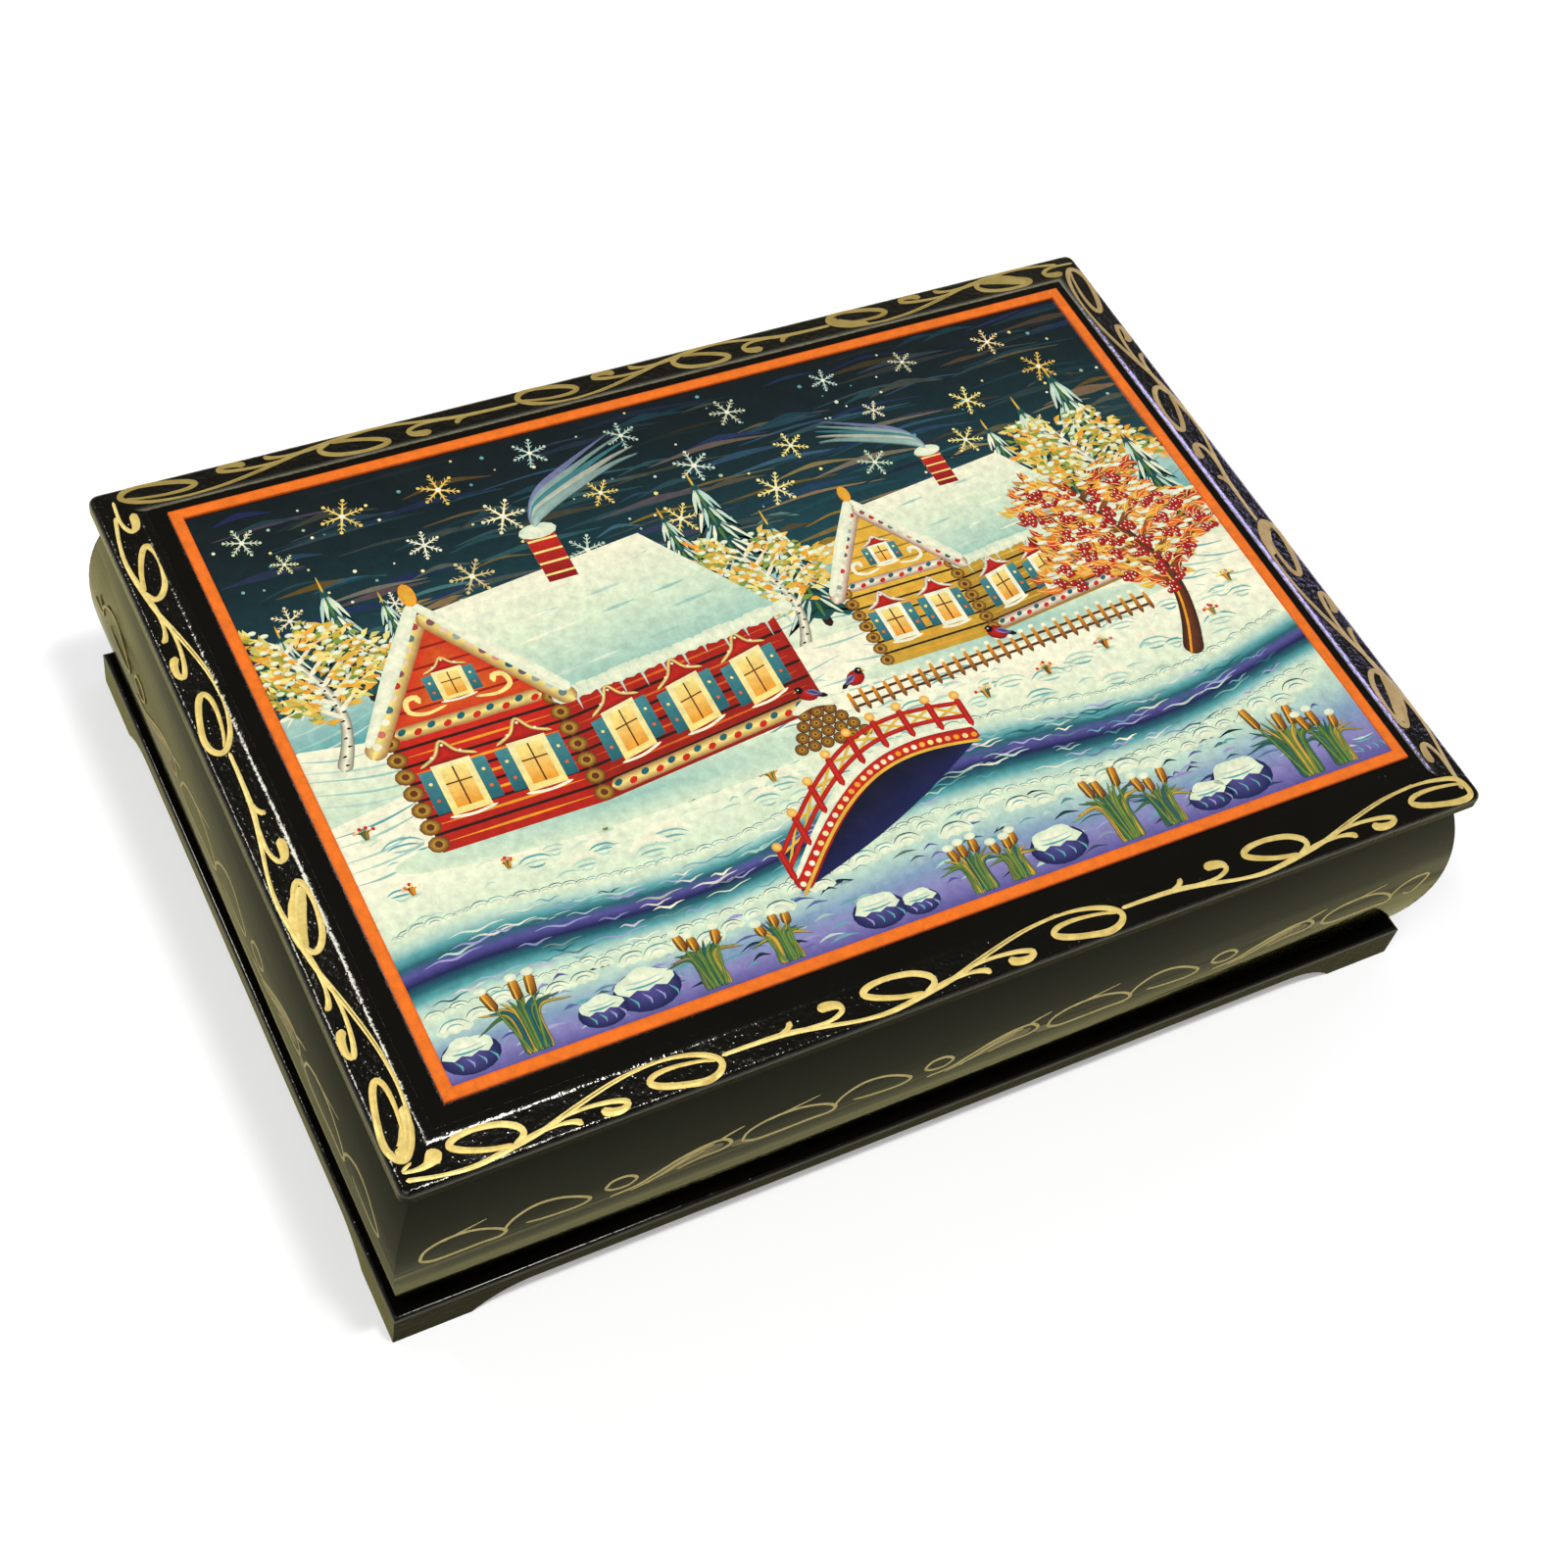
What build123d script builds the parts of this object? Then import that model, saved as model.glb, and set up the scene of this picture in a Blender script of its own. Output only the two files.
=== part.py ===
from build123d import *
import os

# A lacquered box with a hinged lid, in millimetres. It stands on z = 0 with its middle at the origin:
# +X runs along the long side, the front faces -Y and the hinges are at the back.

# Outline shared by the lid and the plinth
box_length = 140.0
box_width = 100.0

# Plinth with bracket feet
plinth_height = 5.7
plinth_strip = 13.0  # width of a strip, from its outer face to its inner face
plinth_edge = 0.5  # rounding of the upper outer edge
foot_length = 9.5  # flat underside of a foot, from the outer corner
foot_rise_length = 7.5  # run of the curve from the foot up to the apron
arch_height = 3.2  # apron's lower edge above the table

# Bulging walls
wall_height = 27.5
wall_foot_inset = 1.9  # outer face at the foot, in from the lid's edge
wall_top_inset = 2.4  # outer face at the top, in from the lid's edge
wall_bulge = 0.6  # middle of the outer face, out past the lid's edge
wall_top_thickness = 5.8

# Floor board, held in a rebate along the foot of the walls
floor_thickness = 2.5
floor_rebate = 2.5
floor_clearance = 0.1

# Lid
lid_gap = 0.15  # between the walls and the closed lid
lid_rim = 2.15  # thickness at the edge
lid_corner = 1.2  # rounding of the corners, seen from above
lid_edge = 0.7  # rounding of the rim's upper and lower edges
border_width = 4.7  # sloping border, edge to raised panel
border_rise = 0.7
panel_thickness = 0.5
panel_bevel = 0.8
panel_corner = 0.5
print_margin = 1.75  # black margin between the panel's bevel and the picture
print_shift = 0.4  # picture pasted off the middle, towards the right and the back
print_thickness = 0.15
inner_panel_depth = 2.0
inner_panel_clearance = 0.4
inner_panel_edge = 0.4

# Hinges
hinge_spacing = 84.0  # between the middles of the two hinges
hinge_length = 14.0
hinge_axis_inset = 1.8  # axis in from the lid's rear edge
hinge_barrel_radius = 1.0
hinge_pin_radius = 0.5
hinge_pin_clearance = 0.04
hinge_leaf_thickness = 0.5
hinge_leaf_gap = 0.15  # between the closed leaves, and between the barrel and the lid
hinge_knuckle_gap = 0.2
hinge_land = 1.2  # wall left standing inside the leaf
hinge_seat_clearance = 0.2
nail_radius = 0.45
nail_head_radius = 0.8
nail_length = 2.4
nail_end = 3.0  # nail in from the end of the leaf
nail_clearance = 0.02

# Turns for pieces that lie along X or point up
ALONG_X = (0, 90, 0)
UPSIDE_DOWN = (180, 0, 0)

# Heights and insets that follow
wall_top = plinth_height + wall_height
wall_middle = plinth_height + wall_height / 2
wall_inner_inset = wall_top_inset + wall_top_thickness
inner_length = box_length - 2 * wall_inner_inset
inner_width = box_width - 2 * wall_inner_inset
floor_top = plinth_height + floor_thickness
lid_bottom = wall_top + lid_gap
border_bottom = lid_bottom + lid_rim
panel_bottom = border_bottom + border_rise
print_bottom = panel_bottom + panel_thickness
panel_length = box_length - 2 * border_width
panel_width = box_width - 2 * border_width
print_length = panel_length - 2 * (panel_bevel + print_margin)
print_width = panel_width - 2 * (panel_bevel + print_margin)
axis_y = box_width / 2 - hinge_axis_inset
axis_z = lid_bottom - hinge_leaf_gap - hinge_barrel_radius
lid_leaf_bottom = lid_bottom - hinge_leaf_thickness
case_leaf_top = lid_leaf_bottom - hinge_leaf_gap
case_leaf_bottom = case_leaf_top - hinge_leaf_thickness
leaf_inner_y = inner_width / 2 + hinge_land
leaf_outer_y = axis_y - hinge_barrel_radius - hinge_knuckle_gap
knuckle_length = (hinge_length - 2 * hinge_knuckle_gap) / 3
knuckle_step = knuckle_length + hinge_knuckle_gap
nail_y = (leaf_inner_y + leaf_outer_y) / 2
nail_offset = hinge_length / 2 - nail_end
hinge_places = {"left": -hinge_spacing / 2, "right": hinge_spacing / 2}
nail_rows = [x + end * nail_offset for x in hinge_places.values() for end in (-1, 1)]
case_nail_places = [Location((x, nail_y, case_leaf_top)) for x in nail_rows]
lid_nail_places = [Location((x, nail_y, lid_leaf_bottom), UPSIDE_DOWN) for x in nail_rows]

# The four sides: name, turn about Z from the front, length along the side, distance to the side opposite
sides = (
    ("front", 0, box_length, box_width),
    ("right", 90, box_width, box_length),
    ("back", 180, box_length, box_width),
    ("left", 270, box_width, box_length),
)

os.makedirs("parts", exist_ok=True)


def turned(plane, turn):
    """The front side's plane, taken round the box to another side."""
    return Plane(Rot(0, 0, turn) * plane.location)


def section_plane(turn, depth):
    """Upright plane square to a side: across is the inset from the lid's edge, up is height."""
    return turned(Plane(origin=(0, -depth / 2, 0), x_dir=(0, 1, 0), z_dir=(1, 0, 0)), turn)


def face_plane(turn, depth):
    """Upright plane of a side's outer face, facing outwards."""
    return turned(Plane(origin=(0, -depth / 2, 0), x_dir=(1, 0, 0), z_dir=(0, -1, 0)), turn)


def mitre_plane(turn, run, depth, end):
    """Upright plane of a mitre, through a corner of the outline at 45 degrees."""
    return turned(Plane(origin=(end * run / 2, -depth / 2, 0), z_dir=(end, 1, 0)), turn)


def save(part, name):
    """Name a finished piece and write it."""
    part.label = name
    export_step(part, f"parts/{name}.step")


# A countersunk nail with its head's face at the origin, pointing down, and the hole that takes it
nail_shapes = []
for extra in (0, nail_clearance):
    with BuildPart() as nail_shape:
        with BuildSketch(Plane.XZ):
            with BuildLine():
                Polyline(
                    (0, 0),
                    (nail_head_radius + extra, 0),
                    (nail_radius + extra, nail_radius - nail_head_radius),
                    (nail_radius + extra, -nail_length - extra),
                    (0, -nail_length - extra),
                    close=True,
                )
            make_face()
        revolve(axis=Axis.Z)
    nail_shapes.append(nail_shape.part)
nail, nail_hole = nail_shapes

# Plinth strips: an apron between two bracket feet, mitred at both ends
for side, turn, run, depth in sides:
    foot_end = run / 2 - foot_length
    arch_end = foot_end - foot_rise_length
    with BuildPart() as plinth:
        with BuildSketch(face_plane(turn, depth)):
            with BuildLine():
                Polyline((foot_end, 0), (run / 2, 0), (run / 2, plinth_height))
                Line((run / 2, plinth_height), (-run / 2, plinth_height))
                Polyline((-run / 2, plinth_height), (-run / 2, 0), (-foot_end, 0))
                TangentArc((-arch_end, arch_height), (-foot_end, 0), tangent=(-1, 0))
                Line((-arch_end, arch_height), (arch_end, arch_height))
                TangentArc((arch_end, arch_height), (foot_end, 0), tangent=(1, 0))
            make_face()
        extrude(amount=-plinth_strip)
        outer_face = plinth.faces().sort_by(face_plane(turn, depth).location.z_axis)[-1]
        fillet(outer_face.edges().sort_by(Axis.Z)[-1], radius=plinth_edge)
        for end in (-1, 1):
            split(bisect_by=mitre_plane(turn, run, depth, end), keep=Keep.BOTTOM)
    save(plinth.part, f"plinth_{side}")

# Walls: mouldings with a bulging outer face and a rebate for the floor, mitred at both ends
for side, turn, run, depth in sides:
    with BuildPart() as wall:
        with BuildSketch(section_plane(turn, depth)):
            with BuildLine():
                ThreePointArc(
                    (wall_foot_inset, plinth_height), (-wall_bulge, wall_middle), (wall_top_inset, wall_top)
                )
                Polyline(
                    (wall_top_inset, wall_top),
                    (wall_inner_inset, wall_top),
                    (wall_inner_inset, floor_top),
                    (wall_inner_inset - floor_rebate, floor_top),
                    (wall_inner_inset - floor_rebate, plinth_height),
                    (wall_foot_inset, plinth_height),
                )
            make_face()
        extrude(amount=run / 2 + wall_bulge, both=True)
        for end in (-1, 1):
            split(bisect_by=mitre_plane(turn, run, depth, end), keep=Keep.BOTTOM)
        if side == "back":
            seat_length = hinge_length + 2 * hinge_seat_clearance
            seat_inner_y = leaf_inner_y - hinge_seat_clearance
            for x in hinge_places.values():
                with Locations((x, seat_inner_y, case_leaf_bottom)):
                    Box(
                        seat_length,
                        box_width / 2 - seat_inner_y,
                        wall_top - case_leaf_bottom,
                        align=(Align.CENTER, Align.MIN, Align.MIN),
                        mode=Mode.SUBTRACT,
                    )
                with Locations((x, axis_y, axis_z)):
                    Cylinder(
                        hinge_barrel_radius + hinge_seat_clearance,
                        seat_length,
                        rotation=ALONG_X,
                        mode=Mode.SUBTRACT,
                    )
            with Locations(case_nail_places):
                add(nail_hole, mode=Mode.SUBTRACT)
    save(wall.part, f"wall_{side}")

# Floor board, lying on the plinth and in the walls' rebate
with BuildPart() as floor_board:
    with BuildSketch(Plane.XY.offset(plinth_height)):
        Rectangle(
            inner_length + 2 * (floor_rebate - floor_clearance),
            inner_width + 2 * (floor_rebate - floor_clearance),
        )
    extrude(amount=floor_thickness)
save(floor_board.part, "floor_board")

# Lid board: rounded rim below, then a border that slopes up to the raised panel
with BuildPart() as lid_board:
    with BuildSketch(Plane.XY.offset(lid_bottom)):
        RectangleRounded(box_length, box_width, lid_corner)
    extrude(amount=lid_rim)
    with BuildSketch(Plane.XY.offset(border_bottom)):
        RectangleRounded(box_length, box_width, lid_corner)
    with BuildSketch(Plane.XY.offset(panel_bottom)):
        RectangleRounded(panel_length, panel_width, panel_corner)
    loft(ruled=True)
    rim_levels = lid_board.edges().filter_by(Plane.XY).group_by(Axis.Z)
    fillet(rim_levels[0] + rim_levels[1], radius=lid_edge)
    with Locations(lid_nail_places):
        add(nail_hole, mode=Mode.SUBTRACT)
save(lid_board.part, "lid_board")

# Raised panel with a bevelled edge, planted on the lid board
with BuildPart() as lid_raised_panel:
    with BuildSketch(Plane.XY.offset(panel_bottom)):
        RectangleRounded(panel_length, panel_width, panel_corner)
    with BuildSketch(Plane.XY.offset(print_bottom)):
        RectangleRounded(panel_length - 2 * panel_bevel, panel_width - 2 * panel_bevel, panel_corner)
    loft(ruled=True)
save(lid_raised_panel.part, "lid_raised_panel")

# Picture sheet on the raised panel
with BuildPart() as lid_print:
    with BuildSketch(Plane.XY.offset(print_bottom)):
        with Locations((print_shift, print_shift)):
            Rectangle(print_length, print_width)
    extrude(amount=print_thickness)
save(lid_print.part, "lid_print")

# Locating panel under the lid, inside the walls when the lid is closed
with BuildPart() as lid_inner_panel:
    with BuildSketch(Plane.XY.offset(lid_bottom)):
        Rectangle(inner_length - 2 * inner_panel_clearance, inner_width - 2 * inner_panel_clearance)
    extrude(amount=-inner_panel_depth)
    fillet(lid_inner_panel.edges().filter_by(Axis.Z), radius=inner_panel_edge)
    fillet(lid_inner_panel.faces().sort_by(Axis.Z)[0].edges(), radius=inner_panel_edge)
save(lid_inner_panel.part, "lid_inner_panel")

# Hinges: the wall's leaf has the two outer knuckles, the lid's leaf has the middle one
for place, hinge_x in hinge_places.items():
    leaves = (
        ("case", case_leaf_bottom, (-1, 1), (0,), case_nail_places),
        ("lid", lid_leaf_bottom, (0,), (-1, 1), lid_nail_places),
    )
    for body, leaf_bottom, own_knuckles, other_knuckles, nail_places in leaves:
        with BuildPart() as leaf:
            with Locations((hinge_x, leaf_inner_y, leaf_bottom)):
                Box(
                    hinge_length,
                    axis_y - leaf_inner_y,
                    hinge_leaf_thickness,
                    align=(Align.CENTER, Align.MIN, Align.MIN),
                )
            with Locations([(hinge_x + n * knuckle_step, leaf_outer_y, leaf_bottom) for n in other_knuckles]):
                Box(
                    knuckle_length + 2 * hinge_knuckle_gap,
                    axis_y - leaf_outer_y,
                    hinge_leaf_thickness,
                    align=(Align.CENTER, Align.MIN, Align.MIN),
                    mode=Mode.SUBTRACT,
                )
            with Locations([(hinge_x + n * knuckle_step, axis_y, axis_z) for n in own_knuckles]):
                Cylinder(hinge_barrel_radius, knuckle_length, rotation=ALONG_X)
            with Locations((hinge_x, axis_y, axis_z)):
                Cylinder(
                    hinge_pin_radius + hinge_pin_clearance,
                    hinge_length,
                    rotation=ALONG_X,
                    mode=Mode.SUBTRACT,
                )
            with Locations(nail_places):
                add(nail_hole, mode=Mode.SUBTRACT)
        save(leaf.part, f"hinge_{body}_leaf_{place}")
    with BuildPart() as hinge_pin:
        with Locations((hinge_x, axis_y, axis_z)):
            Cylinder(hinge_pin_radius, hinge_length, rotation=ALONG_X)
    save(hinge_pin.part, f"hinge_pin_{place}")

# Nails through the leaves into the back wall and into the lid board
for body, nail_places in (("case", case_nail_places), ("lid", lid_nail_places)):
    with BuildPart() as hinge_nails:
        with Locations(nail_places):
            add(nail)
    save(hinge_nails.part, f"hinge_nails_{body}")
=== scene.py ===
import math
import random

import bpy
from mathutils import Matrix, Vector


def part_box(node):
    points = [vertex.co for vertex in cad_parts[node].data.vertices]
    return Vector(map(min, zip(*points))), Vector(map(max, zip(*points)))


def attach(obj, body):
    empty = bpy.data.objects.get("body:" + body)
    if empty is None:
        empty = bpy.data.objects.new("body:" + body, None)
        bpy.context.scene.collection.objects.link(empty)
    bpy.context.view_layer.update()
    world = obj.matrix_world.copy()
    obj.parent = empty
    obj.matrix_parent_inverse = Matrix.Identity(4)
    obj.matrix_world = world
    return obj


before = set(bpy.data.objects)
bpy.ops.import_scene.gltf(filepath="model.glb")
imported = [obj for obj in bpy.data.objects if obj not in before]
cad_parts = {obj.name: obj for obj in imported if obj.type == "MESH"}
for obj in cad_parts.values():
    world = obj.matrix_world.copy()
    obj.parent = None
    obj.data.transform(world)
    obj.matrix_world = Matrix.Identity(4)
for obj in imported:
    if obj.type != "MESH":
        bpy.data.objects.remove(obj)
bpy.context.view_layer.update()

MM = 0.001

# Places taken from the frame, in millimetres
lid_low, lid_high = (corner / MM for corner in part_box("lid_board"))
panel_low, _ = (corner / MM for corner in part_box("lid_raised_panel"))
print_low, print_high = (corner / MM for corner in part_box("lid_print"))
wall_low, wall_high = (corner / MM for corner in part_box("wall_front"))
plinth_low, plinth_high = (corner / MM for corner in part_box("plinth_front"))
_, inner_high = (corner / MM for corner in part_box("lid_inner_panel"))
print_middle = (print_low + print_high) / 2

# Sizes that a box can't tell, in millimetres
LID_RIM = 2.15
RIM_ROUND = 0.7
RIM_EDGE = 0.4
LID_CORNER = 1.2
PANEL_RISE = 0.5
PANEL_BEVEL = 0.8
FILLET_REACH = 0.5, 0.88  # over the border and up the bevel
FILLET_FLAT = 0.05, 0.6  # all round and on the right, where 0 is a round hollow and 1 a flat chamfer
POOL_INSET = 9.0  # from the corners to where the right side's fuller section is reached
WALL_FOOT_INSET = 1.9
WALL_TOP_INSET = 2.4
INNER_CLEARANCE = 0.4
LINING_LAP = 0.05  # how far the lining's red reaches into the walls
PLINTH_ROUND = 0.5
EDGE_ROUND = 0.2
VARNISH = 0.012  # how far pooled varnish stands off the wood
SUNK = 0.1  # how far the back of pooled varnish lies in the wood

# Paint
COAT = 0.003  # each coat of paint lies this much above the one under it
COAT_SPREAD = 0.15  # share of a coat over which brush marks of one coat are spread in height
GOLDEN_SHARE = 0.618034  # steps of this share of the spread never meet
STROKE_END = 0.25  # share of its width that a blunt stroke keeps at its ends
CROWN_INSET = 0.35  # share of its width by which a fully rounded stroke is narrower on top
EDGE_SHARE = 0.8  # share of the edge's colour at a stroke's edge
RIM_STEEPEST = 0.98  # sine of the steepest tilt at which paint lies on the lid's rim
GOLD_COATS = 20  # height of a gold stroke, in coats
PICTURE_STEP = 0.45  # between the stations of a stroke in the picture
FRAME_BAND = 1.4  # width of the orange frame line
FRAME_MARGIN = 0.05  # from the frame line to the paper's edge
FRAME_LAP = 0.1  # how far the frame line covers the picture
PICTURE_X = (print_high.x - print_low.x) / 2 - FRAME_BAND
PICTURE_Y = (print_high.y - print_low.y) / 2 - FRAME_BAND

# Corners of a rectangle round its middle, in order
TURNS = (-1, -1), (1, -1), (1, 1), (-1, 1)
FLOOR_REACH = 4.0  # from its middle, in metres

# Camera, in millimetres
CAMERA_PLACE = Vector((-118.4, -153.6, 265.0))
CAMERA_LOOK = Vector((0.37633, 0.47183, -0.79734))
CAMERA_UP = Vector((0.28693, 0.75894, 0.58453))
CAMERA_LENS = 57.26


def ink(red, green, blue):
    """A colour on the 0 to 255 scale of a paint chart, as linear light."""
    def linear(value):
        value /= 255
        return value / 12.92 if value <= 0.04045 else ((value + 0.055) / 1.055) ** 2.4
    return (linear(red), linear(green), linear(blue))


PAINT_CHART = {
    "night": (6, 10, 12), "deep_teal": (12, 44, 52), "teal": (34, 96, 104), "sea": (92, 164, 164),
    "mist": (186, 214, 196), "indigo": (26, 32, 76), "violet": (86, 80, 146), "lilac": (160, 152, 200),
    "gold": (228, 180, 62), "pale_gold": (248, 226, 132), "amber": (240, 156, 40), "orange": (238, 104, 26),
    "red": (206, 38, 24), "crimson": (136, 18, 20), "brown": (100, 52, 24), "umber": (44, 22, 14),
    "cream": (246, 241, 208), "mint": (218, 232, 198), "snow_shade": (160, 200, 182),
    "pine": (20, 58, 44), "moss": (74, 116, 62), "leaf": (120, 150, 60), "black": (10, 8, 10),
}
INK = {name: ink(*levels) for name, levels in PAINT_CHART.items()}


def colour(tint):
    """A colour, given by its name or as it is."""
    return INK[tint] if isinstance(tint, str) else tint


def mix(first, second, share):
    """Between two colours."""
    return tuple(a + (b - a) * share for a, b in zip(colour(first), colour(second)))


def between(first, second, share):
    """A point between two points."""
    return tuple(a + (b - a) * share for a, b in zip(first, second))


def shares(count):
    """Even steps from 0 to 1."""
    return [k / (count - 1) for k in range(count)]


# Surfaces that carry paint: each takes two places in millimetres and a height above the surface

SIDES = {
    "front": (Vector((1, 0, 0)), Vector((0, 1, 0))),
    "right": (Vector((0, 1, 0)), Vector((-1, 0, 0))),
    "back": (Vector((-1, 0, 0)), Vector((0, -1, 0))),
    "left": (Vector((0, -1, 0)), Vector((1, 0, 0))),
}


def half_lid(direction):
    """From the lid's middle to its edge along a direction."""
    return lid_high.x if abs(direction.x) > 0.5 else lid_high.y


def on_border(side):
    """The lid's sloping border: along the side from its middle, and inwards from the lid's edge."""
    along, inward = SIDES[side]
    rise = lid_high.z - lid_low.z - LID_RIM
    slope = math.atan2(rise, panel_low.x - lid_low.x)
    edge_z = lid_low.z + LID_RIM
    round_z = edge_z + RIM_ROUND * math.tan(slope) - RIM_ROUND / math.cos(slope)

    def place(u, inset, lift):
        tilt = slope
        height = edge_z + inset * math.tan(slope)
        if inset < RIM_ROUND * (1 - math.sin(slope)):
            across = (RIM_ROUND - inset) / RIM_ROUND
            tilt = math.asin(min(across, RIM_STEEPEST))
            height = round_z + RIM_ROUND * math.cos(tilt)
        outward = half_lid(inward) - inset + lift * math.sin(tilt)
        return along * u - inward * outward + Vector((0, 0, height + lift * math.cos(tilt)))
    return place


def on_wall(side):
    """A bulging wall: along the side from its middle, and up from the table."""
    along, inward = SIDES[side]
    foot = Vector((WALL_FOOT_INSET, wall_low.z))
    belly = Vector((wall_low.y - lid_low.y, (wall_low.z + wall_high.z) / 2))
    top = Vector((WALL_TOP_INSET, wall_high.z))
    centre = circle_centre(foot, belly, top)
    radius = (belly - centre).length

    def place(u, height, lift):
        turn = math.asin((height - centre.y) / radius)
        inset = centre.x - (radius + lift) * math.cos(turn)
        rise = centre.y + (radius + lift) * math.sin(turn)
        return along * u - inward * (half_lid(inward) - inset) + Vector((0, 0, rise))
    return place


def circle_centre(a, b, c):
    """Centre of the circle through three points of a plane."""
    ab, ac = b - a, c - a
    cross = 2 * (ab.x * ac.y - ab.y * ac.x)
    x = (ac.y * ab.length_squared - ab.y * ac.length_squared) / cross
    y = (ab.x * ac.length_squared - ac.x * ab.length_squared) / cross
    return a + Vector((x, y))


def on_print(u, v, lift):
    """The picture sheet, from its middle."""
    return Vector((print_middle.x + u, print_middle.y + v, print_high.z + lift))


def inside_picture(u, v):
    return abs(u) < PICTURE_X and abs(v) < PICTURE_Y


# Paint: closed strokes, areas and dots on a surface, with a colour at each corner


def smooth(points, step):
    """Points along a smooth curve through the given ones, about a step apart, with the share of the way."""
    points = [Vector(p).to_2d() for p in points]
    if len(points) == 2:
        points.insert(1, (points[0] + points[1]) / 2)
    ends = [2 * points[0] - points[1]] + points + [2 * points[-1] - points[-2]]
    path = []
    for i in range(1, len(ends) - 2):
        a, b, c, d = ends[i - 1:i + 3]
        count = max(2, round((c - b).length / step))
        for k in range(count):
            t = k / count
            bend = (2 * a - 5 * b + 4 * c - d) * t * t + (3 * b - a - 3 * c + d) * t * t * t
            path.append((b + 0.5 * ((c - a) * t + bend), (i - 1 + t) / (len(points) - 1)))
    path.append((points[-1], 1.0))
    return path


def at_share(values, share):
    """A value along a list of values, or the value itself."""
    if not isinstance(values, (list, tuple)):
        return values
    place = share * (len(values) - 1)
    i = min(int(place), len(values) - 2)
    return values[i] + (values[i + 1] - values[i]) * (place - i)


def make_piece(name, points, faces, material, body):
    """A mesh piece that rides on a body."""
    mesh = bpy.data.meshes.new(name)
    mesh.from_pydata(points, [], faces)
    mesh.materials.append(material)
    piece = bpy.data.objects.new(name, mesh)
    bpy.context.scene.collection.objects.link(piece)
    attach(piece, body)
    return mesh


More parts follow.
